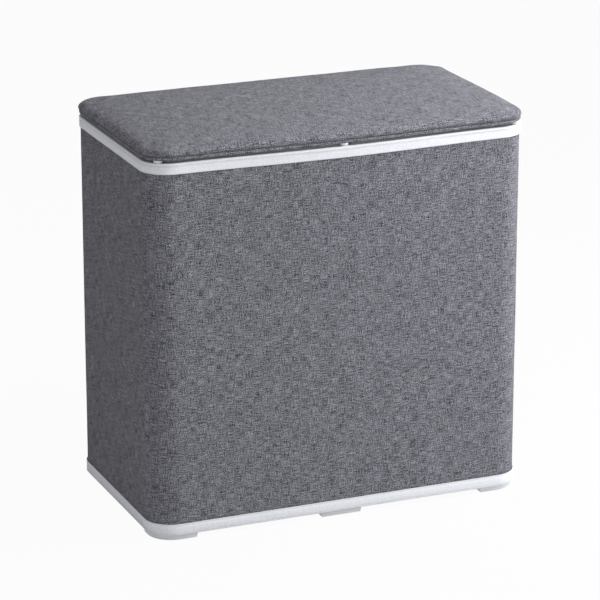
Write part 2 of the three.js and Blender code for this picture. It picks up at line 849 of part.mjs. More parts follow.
function bodyLeaf(x) {
  const half = hinge.width / 2;
  const knuckle = hinge.middle / 2 + knuckleGap;
  const inside = bodyDepth / 2 + bodyLeafFace;
  const flat = block(x - half, x + half, inside, pinY, wallTop, wallTop + hinge.thickness);
  const down = block(x - half, x + half, inside, inside + hinge.thickness,
    wallTop - bindingHeight, wallTop + hinge.thickness);
  const notch = block(x - knuckle, x + knuckle, pinY - leafReach, pinY + leafReach,
    wallTop - overrun, wallTop + lidGap);
  return sum([flat, down]).subtract(notch)
    .add(barrel(x - half, x - knuckle)).add(barrel(x + knuckle, x + half))
    .subtract(bore(x)).subtract(bodyHingeHoles());
}

function lidLeaf(x) {
  const half = hinge.width / 2;
  const knuckle = hinge.middle / 2;
  let plate = block(x - half, x + half, pinY - hinge.lidLeaf, pinY, lidUnder - hinge.thickness, lidUnder);
  for (const [from, to] of [[x - half - overrun, x - knuckle], [x + knuckle, x + half + overrun]]) {
    plate = plate.subtract(block(from, to, pinY - leafReach, pinY + overrun, pinZ, lidUnder + overrun));
  }
  const holes = lidHingeScrews().map(([, seat]) => fastenerHole(screw, seat, along.z, lidScrewReach));
  return plate.add(barrel(x - knuckle, x + knuckle)).subtract(bore(x)).subtract(sum(holes));
}

function hingePin(x) {
  const half = hinge.width / 2 + fitGap;
  const start = new THREE.Vector3(x - half - hinge.pinHeadLength, pinY, pinZ);
  return turned([
    [0, 0],
    [hinge.pinHead, 0],
    [hinge.pinHead, hinge.pinHeadLength],
    [hinge.pinRadius, hinge.pinHeadLength],
    [hinge.pinRadius, hinge.pinHeadLength + 2 * half],
    [hinge.pinHead, hinge.pinHeadLength + 2 * half],
    [hinge.pinHead, 2 * (hinge.pinHeadLength + half)],
    [0, 2 * (hinge.pinHeadLength + half)],
  ], start, along.x, smallSides);
}

// Bins: a wire rim that lies on the ledge and the rail, a bag that hangs from it, its board and two handles
const wireRadius = 2.25;
const wireInset = 18;
const wireFromMiddle = 9;
const bag = {
  thickness: 1,
  hang: 6.6,
  floorGap: 2,
  footRound: 4.5,
  bottomRise: 3,
  hemEndTurn: -20,
  hemStartTurn: 200,
  hemTurns: 5,
  straightTop: 52,
};
const wireZ = ledgeTop + fitGap + wireRadius;
const hemInner = wireRadius + fitGap;
const hemOuter = hemInner + bag.thickness;
const bagLow = floorTop + bag.floorGap;

// Draw-in of the bag's side between its straight top and its foot: [share of the height, offset]
const bagWaist = 12.5;
const bagWaistShares = [[0.06, 0.72], [0.35, 0.95], [0.6, 1], [0.82, 0.76]];

function binPlan(side) {
  const near = wireFromMiddle;
  const far = bodyWidth / 2 - wireInset;
  return {
    left: side < 0 ? -far : near,
    right: side < 0 ? -near : far,
    front: -(bodyDepth / 2 - wireInset),
    back: bodyDepth / 2 - wireInset,
    radius: cornerRadius - wireInset,
    leastRadius,
    cornerSteps: binCornerSteps,
    frontSteps: 1,
  };
}

function hemPoint(radius, degrees) {
  const turn = THREE.MathUtils.degToRad(degrees);
  return [radius * Math.cos(turn), wireZ + radius * Math.sin(turn)];
}

function hemArc(radius, from, to) {
  const arc = [];
  for (let k = 0; k <= bag.hemTurns; k++) {
    arc.push(hemPoint(radius, from + (k / bag.hemTurns) * (to - from)));
  }
  return arc;
}

function binBag(side) {
  const straightLow = ledgeTop - bag.straightTop;
  const sideAt = (inset) => bagWaistShares.map(([rise, share]) => (
    [-share * bagWaist - inset, bagLow + rise * (straightLow - bagLow)]
  ));
  const wall = bag.thickness;
  const section = [
    [-bagWaist - bag.footRound / 2, bagLow],
    [-bagWaist * bagWaistShares[0][1], bagLow + bag.bottomRise],
    ...sideAt(0),
    [-bag.hang, straightLow],
    [-bag.hang, ledgeTop - fitGap],
    [-bag.hang + fitGap, ledgeTop + fitGap],
    ...hemArc(hemInner, bag.hemStartTurn, bag.hemEndTurn),
    ...hemArc(hemOuter, bag.hemEndTurn, bag.hemStartTurn),
    [-bag.hang - wall, ledgeTop],
    [-bag.hang - wall, straightLow],
    ...sideAt(wall).reverse(),
    [-bagWaist * bagWaistShares[0][1] - wall, bagLow + bag.bottomRise + wall / 2],
    [-bagWaist - bag.footRound / 2 - wall, bagLow + wall],
  ];
  return chain(section.map(([offset, z]) => roundedRing(binPlan(side), offset, z)));
}

function binWire(side) {
  const section = [];
  for (let k = 0; k < smallSides; k++) {
    const turn = (2 * Math.PI * (k + 1 / 2)) / smallSides;
    section.push([wireRadius * Math.cos(turn), wireZ + wireRadius * Math.sin(turn)]);
  }
  return chain(section.map(([offset, z]) => roundedRing(binPlan(side), offset, z)), true);
}

const bottomBoard = { thickness: 3, inset: 18 };

function binBottomBoard(side) {
  const low = bagLow + bag.thickness + fitGap;
  const edge = -bottomBoard.inset;
  return chain([low, low + bottomBoard.thickness].map((z) => roundedRing(binPlan(side), edge, z)));
}

// A webbing handle lies on the bag's inner face with flat, sewn ends and bows inwards between them
const handle = { width: 28, thickness: 2, bulge: 26, reach: 55, tail: 25, drop: 8, steps: 12 };

function binHandle(side, frontOrBack) {
  const plan = binPlan(side);
  const middle = (plan.left + plan.right) / 2;
  const face = plan.back - bag.hang - bag.thickness - fitGap;
  const line = [[-handle.reach - handle.tail, 0]];
  for (let k = 0; k <= handle.steps; k++) {
    const t = -1 + (2 * k) / handle.steps;
    line.push([t * handle.reach, handle.bulge * Math.cos(t * Math.PI / 2) ** 2]);
  }
  line.push([handle.reach + handle.tail, 0]);
  const inner = drawnIn(line, handle.thickness);
  const outline = [...line, ...inner.reverse()];
  const high = ledgeTop - handle.drop;
  const rings = [high - handle.width, high].map((z) => outline.map(([u, v]) => (
    new THREE.Vector3(middle + u, frontOrBack * (face - v), z)
  )));
  return chain(rings);
}

// Assembly
add('base_tray', baseTray(), palePlastic);
add('wall_board', wallBoard(), fibreboard);
add('wall_cloth', wallSheet(0, -clothThickness), greyCloth);
add('bottom_binding', binding(floorTop, -1), whiteTape);
add('top_binding', binding(wallTop, 1).subtract(bodyHingeHoles()), whiteTape);
add('back_joint_strip', backJointStrip(), fibreboard);
for (const [place, seat, into] of baseRivets()) {
  add(`base_rivet_${place}`, fastener(rivet, seat, into, baseRivetLength), innerPlastic);
}
add('rim_frame', rimFrame(), innerPlastic);
for (const [place, seat, into] of rimRivets()) {
  add(`rim_rivet_${place}`, fastener(rivet, seat, into, rimRivetLength), innerPlastic);
}
add('center_rail', centerRail(), innerPlastic);
for (const [place, seat] of railScrews()) {
  add(`rail_screw_${place}`, fastener(screw, seat, against.z, railScrewLength), steel);
}
add('lid_board', lidBoard(), fibreboard);
add('lid_pad', lidPad(), foam);
add('lid_cover', lidCoverShell(), greyCloth);
add('lid_liner', lidLiner(), liningCloth);
for (const [place, at] of bumperPlaces()) add(`lid_bumper_${place}`, bumperButton(at), clearPlastic);
for (const [side, x] of hingeCentres()) {
  add(`hinge_body_leaf_${side}`, bodyLeaf(x), steel);
  add(`hinge_lid_leaf_${side}`, lidLeaf(x), steel);
  add(`hinge_pin_${side}`, hingePin(x), steel);
}
for (const [place, seat] of bodyHingeScrews()) {
  add(`hinge_body_screw_${place}`, fastener(screw, seat, along.y, bodyScrewLength), steel);
}
for (const [place, seat] of lidHingeScrews()) {
  add(`hinge_lid_screw_${place}`, fastener(screw, seat, along.z, lidScrewLength), steel);
}
for (const [name, side] of [['left', -1], ['right', 1]]) {
  add(`bin_${name}_wire_rim`, binWire(side), whiteWire);
  add(`bin_${name}_bag`, binBag(side), bagCloth);
  add(`bin_${name}_bottom_board`, binBottomBoard(side), fibreboard);
  add(`bin_${name}_handle_front`, binHandle(side, -1), webbing);
  add(`bin_${name}_handle_rear`, binHandle(side, 1), webbing);
}

// The binding's roll reaches furthest in front and the lid's side furthest behind: the origin is midway
const frontReach = bodyDepth / 2 + tapeOuter + roll.bulge + wallBow;
const backReach = new THREE.Box3().setFromObject(group).max.y;
group.position.y = (frontReach - backReach) / 2;
group.updateMatrixWorld(true);

export default group;
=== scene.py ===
"""A cloth-covered laundry hamper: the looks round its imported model.

Lengths are metres in the model's own frame: +Z is up, the front faces -Y and the floor is at 0.
"""

import math

import bmesh
import bpy
from mathutils import Matrix, Vector, noise
from mathutils.kdtree import KDTree


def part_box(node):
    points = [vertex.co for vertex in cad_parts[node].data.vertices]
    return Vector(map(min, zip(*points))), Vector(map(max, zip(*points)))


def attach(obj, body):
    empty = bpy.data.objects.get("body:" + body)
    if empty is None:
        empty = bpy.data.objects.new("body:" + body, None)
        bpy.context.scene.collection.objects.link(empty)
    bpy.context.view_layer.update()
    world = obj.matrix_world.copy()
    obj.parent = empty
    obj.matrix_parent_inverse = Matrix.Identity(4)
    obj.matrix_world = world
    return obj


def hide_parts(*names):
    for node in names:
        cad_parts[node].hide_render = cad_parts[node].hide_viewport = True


bl_info = {
    "name": "Laundry hamper dressing",
    "version": (1, 0, 0),
    "blender": (4, 5, 0),
    "location": "View3D > Sidebar > Hamper",
    "description": "Builds the cloth, tape, cushion, bags and finishes of a laundry hamper",
    "category": "Object",
}

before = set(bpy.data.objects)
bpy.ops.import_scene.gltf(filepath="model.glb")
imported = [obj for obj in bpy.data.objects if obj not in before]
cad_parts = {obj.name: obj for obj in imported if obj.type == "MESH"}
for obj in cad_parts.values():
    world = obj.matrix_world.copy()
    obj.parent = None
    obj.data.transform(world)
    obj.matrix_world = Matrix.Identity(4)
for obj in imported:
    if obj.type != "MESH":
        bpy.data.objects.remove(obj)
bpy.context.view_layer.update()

MM = 0.001
TURN = 2 * math.pi


def node_box(name):
    low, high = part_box(name)
    return Vector(low), Vector(high)


def middle_and_half(name):
    """The middle of a node's box, and half of its size."""
    low, high = node_box(name)
    return (low + high) / 2, (high - low) / 2


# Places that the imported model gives
TRAY_LOW, TRAY_HIGH = node_box("base_tray")
HALF_WIDTH = node_box("wall_cloth")[1].x
TRAY_EDGE = HALF_WIDTH - TRAY_HIGH.x
HALF_DEPTH = (TRAY_HIGH.y - TRAY_LOW.y) / 2 + TRAY_EDGE
MIDDLE_Y = (TRAY_HIGH.y + TRAY_LOW.y) / 2
BACK_Y = MIDDLE_Y + HALF_DEPTH
WALL_LOW = node_box("bottom_binding")[0].z
WALL_TOP = node_box("top_binding")[1].z
LID_UNDER = node_box("lid_cover")[0].z
LEDGE_TOP = node_box("center_rail")[1].z
WIRE_Z, WIRE_RADIUS = (size.z for size in middle_and_half("bin_left_wire_rim"))

# Sizes of the product that the boxes don't give
CORNER_RADIUS = 41 * MM
WALL_BOW = 9 * MM
LID_BOW = 6 * MM
LID_LIP = 1.5 * MM
CROWN_REACH = 117 * MM
CLOTH_THICKNESS = 0.8 * MM
LEAST_RADIUS = 6 * MM
TINY = MM / 1000


# Plans and lofts

class Plan:
    """A rounded rectangle whose front may bow out, with points anticlockwise from the middle of its back.
    straight and corner count the points on a long side and on a corner."""

    def __init__(self, straight, corner, half_width=HALF_WIDTH, half_depth=HALF_DEPTH,
                 radius=CORNER_RADIUS, x=0.0):
        self.straight, self.corner = straight, corner
        self.half_width, self.half_depth, self.radius, self.x = half_width, half_depth, radius, x

    def ring(self, offset, z, bow=0.0):
        radius = max(self.radius + offset, LEAST_RADIUS)
        a = self.half_width + offset - radius
        b = self.half_depth + offset - radius
        half = self.straight // 2
        points = [(-a * k / half, b + radius) for k in range(half)]
        points += self.arc(-a, b, radius, 0.25)
        points += [(-a - radius, b - 2 * b * k / half) for k in range(half)]
        points += self.arc(-a, -b, radius, 0.5)
        for k in range(self.straight):
            t = -1 + 2 * k / self.straight
            points.append((a * t, -b - radius - bow * math.cos(t * math.pi / 2) ** 2))
        points += self.arc(a, -b, radius, 0.75)
        points += [(a + radius, -b + 2 * b * k / half) for k in range(half)]
        points += self.arc(a, b, radius, 0)
        points += [(a - a * k / half, b + radius) for k in range(half)]
        return [Vector((self.x + x, MIDDLE_Y + y, z)) for x, y in points]

    def arc(self, x, y, radius, start):
        turns = [TURN * (start + k / self.corner / 4) for k in range(self.corner)]
        return [(x + radius * math.cos(t), y + radius * math.sin(t)) for t in turns]

    def lengths(self):
        """How far round the ring each point lies, and last the whole way round."""
        return run_lengths(self.ring(0, 0), rolled=True)

    def outward(self):
        """The level outward direction at each point of a ring."""
        ring = self.ring(0, 0)
        runs = [ring[(k + 1) % len(ring)] - ring[k - 1] for k in range(len(ring))]
        return [Vector((run.y, -run.x, 0)).normalized() for run in runs]


def body_ring(plan, offset, z):
    """A ring of the wall, whose front bows out more and more towards the top."""
    return plan.ring(offset, z, WALL_BOW * max((z - WALL_LOW) / (WALL_TOP - WALL_LOW), 0) ** 2)


def lid_ring(plan, offset, height):
    return plan.ring(LID_LIP + offset, LID_UNDER + height, LID_BOW)


def pushed(row, ways, by):
    """The ring with each point moved outwards by by(point, its number)."""
    return [point + way * by(point, k) for k, (point, way) in enumerate(zip(row, ways))]


def run_lengths(points, rolled=False):
    """How far along a run of points each one lies, and last the whole way round if it is rolled."""
    found = [0.0]
    for here, ahead in zip(points, points[1:] + (points[:1] if rolled else [])):
        found.append(found[-1] + math.dist(here, ahead))
    return found


def round_uvs(plan, levels):
    """Cloth that goes round: u is the way round and v the way along the section, both in metres."""
    around = plan.lengths()
    return [[(u, v) for u in around] for v in levels]


def flat_uvs(row):
    """Cloth that lies flat: its map is its plan."""
    return [(point.x, point.y) for point in closed(row)]


def softened(section, rounds=1, rolled=True):
    """The section with its corners cut, as cloth and mouldings have them."""
    for _ in range(rounds):
        cut = [] if rolled else [section[0]]
        for k in range(len(section) if rolled else len(section) - 1):
            a, b = section[k], section[(k + 1) % len(section)]
            cut += [tuple(share * p + (1 - share) * q for p, q in zip(a, b)) for share in (0.75, 0.25)]
        section = cut if rolled else cut + [section[-1]]
    return section


def ripple(point, size, strength, seed=0.0):
    """A smooth random height at a point, for cloth that isn't quite flat."""
    return strength * noise.noise(point / size + Vector((seed, seed, seed)))


def ripples(point, waves):
    return sum(ripple(point, *wave) for wave in waves)


def closed(ring):
    return ring + ring[:1]


def eased(share):
    share = min(max(share, 0), 1)
    return share * share * (3 - 2 * share)


def arch(share):
    """1 in the middle of a span and 0 at its ends, where share is -1 or 1."""
    return math.cos(min(abs(share), 1) * math.pi / 2) ** 2


# Meshes

def put(name, data):
    piece = bpy.data.objects.new(name, data)
    bpy.context.scene.collection.objects.link(piece)
    return piece


def new_piece(name, vertices, faces=(), uvs=(), edges=()):
    mesh = bpy.data.meshes.new(name)
    mesh.from_pydata([tuple(v) for v in vertices], edges, faces)
    if uvs:
        layer = mesh.uv_layers.new(name="cloth").data
        for spot, uv in zip(layer, (uv for face in uvs for uv in face)):
            spot.uv = uv
    mesh.shade_smooth()
    return put(name, mesh)


def band(low, high, low_uvs, high_uvs):
    """The faces between two rings of equal counts, given as vertex numbers, and the faces' map."""
    count = len(low)
    ahead = [(j, (j + 1) % count) for j in range(count)]
    faces = [(low[j], low[k], high[k], high[j]) for j, k in ahead]
    return faces, [(low_uvs[j], low_uvs[j + 1], high_uvs[j + 1], high_uvs[j]) for j in range(count)]


def loft(name, rows, uv_rows, rolled=False, fill=False, ends=False):
    """A skin through rings that close on themselves. uv_rows hold one more entry than a ring has points.
    rolled joins the last ring to the first, fill closes the last one with one face, and ends closes both."""
    count = len(rows[0])
    rings = [range(i * count, (i + 1) * count) for i in range(len(rows))]
    faces, uvs = [], []
    for i in range(len(rows) if rolled else len(rows) - 1):
        more, more_uvs = band(rings[i], rings[(i + 1) % len(rows)], uv_rows[i], uv_rows[i + 1])
        faces += more
        uvs += more_uvs
    if ends:
        faces += [tuple(reversed(rings[0])), tuple(rings[-1])]
        uvs += [tuple(uv_rows[0][:count])] * 2
    if fill:
        faces.append(tuple(rings[-1]))
        uvs.append(tuple(uv_rows[len(rows) - 1][:count]))
    return new_piece(name, [point for row in rows for point in row], faces, uvs)


def edited(piece, *edits):
    """The piece with the edits made to its mesh, each of them a function of a bmesh."""
    mesh = bmesh.new()
    mesh.from_mesh(piece.data)
    for edit in edits:
        edit(mesh)
    mesh.to_mesh(piece.data)
    mesh.free()
    return piece


def split_big_faces(mesh):
    bmesh.ops.triangulate(mesh, faces=[face for face in mesh.faces if len(face.verts) > 4])


def face_outwards(mesh):
    bmesh.ops.recalc_face_normals(mesh, faces=mesh.faces)


def applied(piece):
    """The piece as a plain mesh, with its modifiers' result in it."""
    graph = bpy.context.evaluated_depsgraph_get()
    mesh = bpy.data.meshes.new_from_object(piece.evaluated_get(graph))
    piece.modifiers.clear()
    old = piece.data
    piece.data = mesh
    bpy.data.meshes.remove(old)
    return piece


def modified(piece, kind, **settings):
    modifier = piece.modifiers.new(kind.lower(), kind)
    for name, value in settings.items():
        setattr(modifier, name, value)
    return piece


def thickened(piece, thickness):
    """The piece with a thickness inwards."""
    return modified(piece, "SOLIDIFY", thickness=thickness, offset=-1)


def joined(name, pieces):
    """One object from several, in place."""
    with bpy.context.temp_override(active_object=pieces[0], selected_editable_objects=pieces):
        bpy.ops.object.join()
    pieces[0].name = name
    return pieces[0]


def spun(name, profile, sides=40):
    """A turned piece round Z, its profile given as (radius, height) from bottom to top."""
    vertices, rings = [], []
    for radius, height in profile:
        turns = [TURN * k / sides for k in range(1 if radius < TINY else sides)]
        rings.append(range(len(vertices), len(vertices) + len(turns)))
        vertices += [(radius * math.cos(t), radius * math.sin(t), height) for t in turns]
    faces = []
    for low, high in zip(rings, rings[1:]):
        for k in range(sides):
            steps = ((low, k), (low, k + 1), (high, k + 1), (high, k))
            corners = [ring[number % len(ring)] for ring, number in steps]
            unique = tuple(dict.fromkeys(corners))
            if len(unique) > 2:
                faces.append(unique)
    return edited(new_piece(name, vertices, faces), face_outwards)


# Finishes

# Most of a noise's values lie between these
USUAL = (0.3, 0.7)


class Nodes:
    """A node tree, built in short calls. A value that is a socket is linked, and any other one is set."""

    def __init__(self, tree):
        self.tree = tree

    def add(self, kind, settings=None, *values, **named):
        """Adds a node. values fill its inputs in their order, and named ones by title."""
        node = self.tree.nodes.new(kind)
        for key, value in (settings or {}).items():
            setattr(node, key, value)
        for number, value in enumerate(values):
            self.feed(node.inputs[number], value)
        for title, value in named.items():
            self.feed(node.inputs[title.replace("_", " ")], value)
        return node

    def feed(self, socket, value):
        if isinstance(value, bpy.types.NodeSocket):
            self.tree.links.new(value, socket)
        else:
            socket.default_value = value

    def out(self, kind, settings=None, *values, **named):
        """Adds a node and returns its first output."""
        return self.add(kind, settings, *values, **named).outputs[0]

    def math(self, operation, a, b=0.0):
        return self.out("ShaderNodeMath", {"operation": operation}, a, b)


class Finish(Nodes):
    """A material's node tree."""

    made = {}

    def __init__(self, name):
        self.material = bpy.data.materials.new(name)
        self.material.use_nodes = True
        super().__init__(self.material.node_tree)
        Finish.made[name] = self.material

    def cloth_place(self):
        """The piece's own cloth map, in metres."""
        return self.out("ShaderNodeUVMap", {"uv_map": "cloth"})

    def place(self):
        return self.add("ShaderNodeTexCoord").outputs["Object"]

    def scaled(self, vector, scale):
        return self.out("ShaderNodeMapping", Vector=vector, Scale=scale)

    def noise(self, vector, scale=1.0, detail=2.0, roughness=0.5):
        return self.out("ShaderNodeTexNoise", Vector=vector, Scale=scale, Detail=detail,
                        Roughness=roughness)

    def split(self, vector):
        return self.add("ShaderNodeSeparateXYZ", Vector=vector).outputs

    def wave(self, value, pitch):
        return self.math("SINE", self.math("MULTIPLY", value, TURN / pitch))

    def ramp(self, value, low, high, to_low=0.0, to_high=1.0):
        return self.out("ShaderNodeMapRange", None, value, low, high, to_low, to_high)

    def blend(self, factor, a, b):
        node = self.add("ShaderNodeMix", {"data_type": "RGBA"}, factor)
        for title, color in (("A_Color", a), ("B_Color", b)):
            self.feed(next(socket for socket in node.inputs if socket.identifier == title), color)
        return node.outputs[2]

    def bump(self, height, depth, strength=1.0, edge=None):
        """A normal from a height, on edges that are rounded by edge if it is given."""
        node = self.add("ShaderNodeBump", Height=height, Distance=depth, Strength=strength)
        if edge is not None:
            self.feed(node.inputs["Normal"], self.out("ShaderNodeBevel", {"samples": 6}, Radius=edge))
        return node.outputs[0]

    def finish(self, color, normal, **sockets):
        shader = self.tree.nodes["Principled BSDF"]
        for title, value in dict(sockets, Base_Color=color, Normal=normal).items():
            self.feed(shader.inputs[title.replace("_", " ")], value)


def rgba(color, gain=1.0):
    return tuple(gain * c for c in color[:3]) + (1.0,)


def woven_cloth(name, cloth):
    """Plain-woven heathered cloth with slubs both ways, from a PropertyGroup of its sizes."""
    f = Finish(name)
    uv = f.cloth_place()
    fine, across, along = 1 / cloth.fleck_size, 1 / cloth.slub_width, 1 / cloth.slub_length
    flecks = f.noise(f.scaled(uv, (fine * 0.8, fine, 1)), detail=1.0)
    warp = f.noise(f.scaled(uv, (across, along, 1)), detail=1.0)
    weft = f.noise(f.scaled(uv, (along, across, 1)), detail=1.0)
    mottle = f.noise(uv, scale=1 / cloth.mottle_size, detail=3.0)
    u, v, _ = f.split(uv)
    weave = f.math("MULTIPLY", f.wave(u, cloth.yarn_pitch), f.wave(v, cloth.yarn_pitch))
    tone = f.math("MULTIPLY", weave, 0.08)
    for part, share in ((flecks, 0.78), (warp, 0.36), (weft, 0.50), (mottle, 0.09)):
        tone = f.math("ADD", tone, f.math("MULTIPLY", f.ramp(part, *USUAL, -1, 1), share))
    pale = f.math("POWER", f.ramp(tone, -0.6, 0.6), 1.3)
    height = f.math("ADD", f.math("MULTIPLY", weave, 0.5), f.math("MULTIPLY", tone, 0.6))
    f.finish(f.blend(pale, rgba(cloth.dark), rgba(cloth.light)), f.bump(height, cloth.relief, 0.8),
             Roughness=0.95, Sheen_Weight=0.04, Sheen_Roughness=0.5, Specular_IOR_Level=0.05)


def dotted_tape(name, tape):
    """Woven tape with raised dots in slanting rows, and fine ribs along it."""
    f = Finish(name)
    u, v, _ = f.split(f.cloth_place())
    slant = 1.4 * tape.dot_pitch
    dots = f.math("MULTIPLY", f.wave(f.math("ADD", u, v), slant), f.wave(f.math("SUBTRACT", u, v), slant))
    slub = f.noise(f.place(), scale=330.0)
    shade = f.math("ADD", f.ramp(dots, -1, 1, 0.0, 0.6), f.ramp(slub, *USUAL, 0, 0.4))
    height = f.math("ADD", dots, f.math("MULTIPLY", f.wave(v, tape.yarn_pitch), 0.3))
    f.finish(f.blend(shade, rgba(tape.shade), rgba(tape.color)), f.bump(height, tape.relief, 0.7),
             Roughness=0.85, Sheen_Weight=0.04, Specular_IOR_Level=0.2)


def moulded(name, color, roughness):
    """Moulded plastic: a fine grain, a faint unevenness and soft edges."""
    f = Finish(name)
    place = f.place()
    fine = f.noise(place, scale=1600.0)
    broad = f.noise(place, scale=9.0, detail=3.0)
    f.finish(f.blend(f.ramp(broad, *USUAL), rgba(color, 0.965), rgba(color)),
             f.bump(fine, 0.04 * MM, 0.6, edge=0.4 * MM),
             Roughness=f.ramp(broad, *USUAL, roughness - 0.05, roughness + 0.05), Specular_IOR_Level=0.45)


def pressed_board(name, color):
    """Brown fibreboard: matted fibres with paler and darker flecks."""
    f = Finish(name)
    place = f.place()
    fibres = f.noise(f.scaled(place, (260, 260, 620)), detail=5.0, roughness=0.7)
    broad = f.noise(place, scale=30.0, detail=4.0)
    tint = f.blend(f.ramp(fibres, 0.32, 0.7), rgba(color, 0.72), rgba(color, 1.16))
    tint = f.blend(f.ramp(broad, 0.35, 0.75, 0, 0.35), tint, rgba(color, 0.85))
    f.finish(tint, f.bump(fibres, 0.3 * MM, 0.5, edge=0.5 * MM), Roughness=0.85)


def plain_weave(name, color, pitch, depth=0.2 * MM, contrast=0.16):
    """Canvas, webbing or lining: an even plain weave with a little unevenness of yarn."""
    f = Finish(name)
    uv = f.cloth_place()
    u, v, _ = f.split(uv)
    weave = f.math("MULTIPLY", f.wave(u, pitch), f.wave(v, pitch))
    yarn = f.math("ADD", f.noise(f.scaled(uv, (1 / pitch, 60, 1))), f.noise(f.scaled(uv, (60, 1 / pitch, 1))))
    broad = f.noise(f.place(), scale=16.0, detail=3.0)
    tone = f.math("ADD", f.ramp(yarn, 0.6, 1.4), f.math("MULTIPLY", weave, 0.25))
    tint = f.blend(tone, rgba(color, 1 - contrast), rgba(color, 1 + contrast / 4))
    tint = f.blend(f.ramp(broad, 0.3, 0.75, 0, 0.3), tint, rgba(color, 0.93))
    f.finish(tint, f.bump(f.math("ADD", weave, yarn), depth, 0.8), Roughness=0.9, Sheen_Weight=0.08,
             Specular_IOR_Level=0.2)


def plated_steel(name, color):
    f = Finish(name)
    place = f.place()
    brushed = f.noise(f.scaled(place, (60, 2200, 2200)), detail=3.0)
    spots = f.noise(place, scale=220.0, detail=3.0)
    f.finish(f.blend(f.ramp(spots, 0.35, 0.7), rgba(color, 0.9), rgba(color)),
             f.bump(brushed, 0.03 * MM, 0.5, edge=0.3 * MM), Metallic=1.0,
             Roughness=f.ramp(brushed, *USUAL, 0.26, 0.42))


def dipped_wire(name, color):
    f = Finish(name)
    lumps = f.noise(f.place(), scale=300.0)
    f.finish(rgba(color), f.bump(lumps, 0.2 * MM, 0.3), Roughness=0.35, Coat_Weight=0.3)


def milky_button(name, color):
    f = Finish(name)
    haze = f.noise(f.place(), scale=500.0)
    f.finish(f.blend(f.ramp(haze, *USUAL), rgba(color, 0.97), rgba(color)), f.bump(haze, 0.05 * MM, 0.3),
             Roughness=0.22, Transmission_Weight=0.25, IOR=1.46)


def wear(piece, finish, body):
    """The piece takes the material named finish, and the body that it rides on."""
    piece.data.materials.clear()
    piece.data.materials.append(Finish.made[finish])
    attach(piece, body)
    return piece


# Repeats

class Repeat(Nodes):
    """A Geometry Nodes tree with named inputs."""

    def __init__(self, name, **sockets):
        super().__init__(bpy.data.node_groups.new(name, "GeometryNodeTree"))
        sides = [("Geometry", "Geometry", "INPUT")]
        sides += [(title, kind, "INPUT") for title, kind in sockets.items()]
        for title, kind, side in sides + [("Geometry", "Geometry", "OUTPUT")]:
            self.tree.interface.new_socket(title, in_out=side, socket_type="NodeSocket" + kind)
        self.given = self.add("NodeGroupInput").outputs

    def close(self, result, material):
        """Turns the result into real faces and gives them their material."""
        real = self.out("GeometryNodeRealizeInstances", None, result)
        dressed = self.out("GeometryNodeSetMaterial", Geometry=real, Material=material)
        self.add("NodeGroupOutput", None, dressed)
        return self.tree


def stitch_tree():
    """Stitches along every line of a mesh: a small thread at each step, turned along the line."""
    tree = Repeat("Stitches", Pitch="Float", Length="Float", Thickness="Float", Thread="Material")
    given, out = tree.given, tree.out
    line = out("GeometryNodeMeshToCurve", Mesh=given["Geometry"])
    spaced = out("GeometryNodeResampleCurve", {"mode": "LENGTH"}, Curve=line, Length=given["Pitch"])
    thread = out("GeometryNodeMeshUVSphere", Segments=6, Rings=5, Radius=0.5)
    turned = out("FunctionNodeAlignRotationToVector", {"axis": "X"}, Vector=out("GeometryNodeInputTangent"))
    size = out("ShaderNodeCombineXYZ", None, given["Length"], given["Thickness"], given["Thickness"])
    placed = out("GeometryNodeInstanceOnPoints", Points=spaced, Instance=thread, Rotation=turned,
                 Scale=size)
    return tree.close(placed, given["Thread"])


def fastener_tree():
    """A copy of one fastener at every point, its own +Z turned along the point's facing."""
    tree = Repeat("Fasteners", Fastener="Object", Metal="Material")
    given, out = tree.given, tree.out
    master = tree.add("GeometryNodeObjectInfo", Object=given["Fastener"]).outputs["Geometry"]
    facing = out("GeometryNodeInputNamedAttribute", {"data_type": "FLOAT_VECTOR"}, Name="facing")
    turned = out("FunctionNodeAlignRotationToVector", {"axis": "Z"}, Vector=facing)
    points = out("GeometryNodeMeshToPoints", Mesh=given["Geometry"])
    placed = out("GeometryNodeInstanceOnPoints", Points=points, Instance=master, Rotation=turned)
    return tree.close(placed, given["Metal"])


def wire_tree():
    """A round wire along every line of a mesh."""
    tree = Repeat("Wire", Radius="Float", Sides="Int", Metal="Material")
    given, out = tree.given, tree.out
    line = out("GeometryNodeMeshToCurve", Mesh=given["Geometry"])
    circle = out("GeometryNodeCurvePrimitiveCircle", Resolution=given["Sides"], Radius=given["Radius"])
    return tree.close(out("GeometryNodeCurveToMesh", Curve=line, Profile_Curve=circle), given["Metal"])


def repeated(piece, name, make_tree, **inputs):
    """The piece with a tree's result in it. Each input is set by its socket's identifier."""
    modifier = piece.modifiers.new(name, "NODES")
    modifier.node_group = bpy.data.node_groups.get(name) or make_tree()
    sockets = {item.name: item.identifier for item in modifier.node_group.interface.items_tree
               if item.item_type == "SOCKET" and item.in_out == "INPUT"}
    for title, value in inputs.items():
        modifier[sockets[title]] = value
    return applied(piece)


def lines_piece(name, lines):
    """A piece of bare lines. A line whose last point is its first one closes on itself."""
    vertices, edges = [], []
    for line in lines:
        meets = (line[0] - line[-1]).length < 10 * TINY
        points = line[:-1] if meets else line
        first = len(vertices)
        vertices += points
        edges += [(first + k, first + k + 1) for k in range(len(points) - 1)]
        if meets:
            edges.append((len(vertices) - 1, first))
    return new_piece(name, vertices, edges=edges)


def stitches(name, lines, stitch, thread, body):
    """Stitches along lists of points. stitch is (pitch, length, thickness), and thread names their material.
    """
    pitch, length, thickness = stitch
    piece = repeated(lines_piece(name, lines), "Stitches", stitch_tree, Pitch=pitch, Length=length,
                     Thickness=thickness, Thread=Finish.made[thread])
    piece.data.shade_smooth()
    return wear(piece, thread, body)


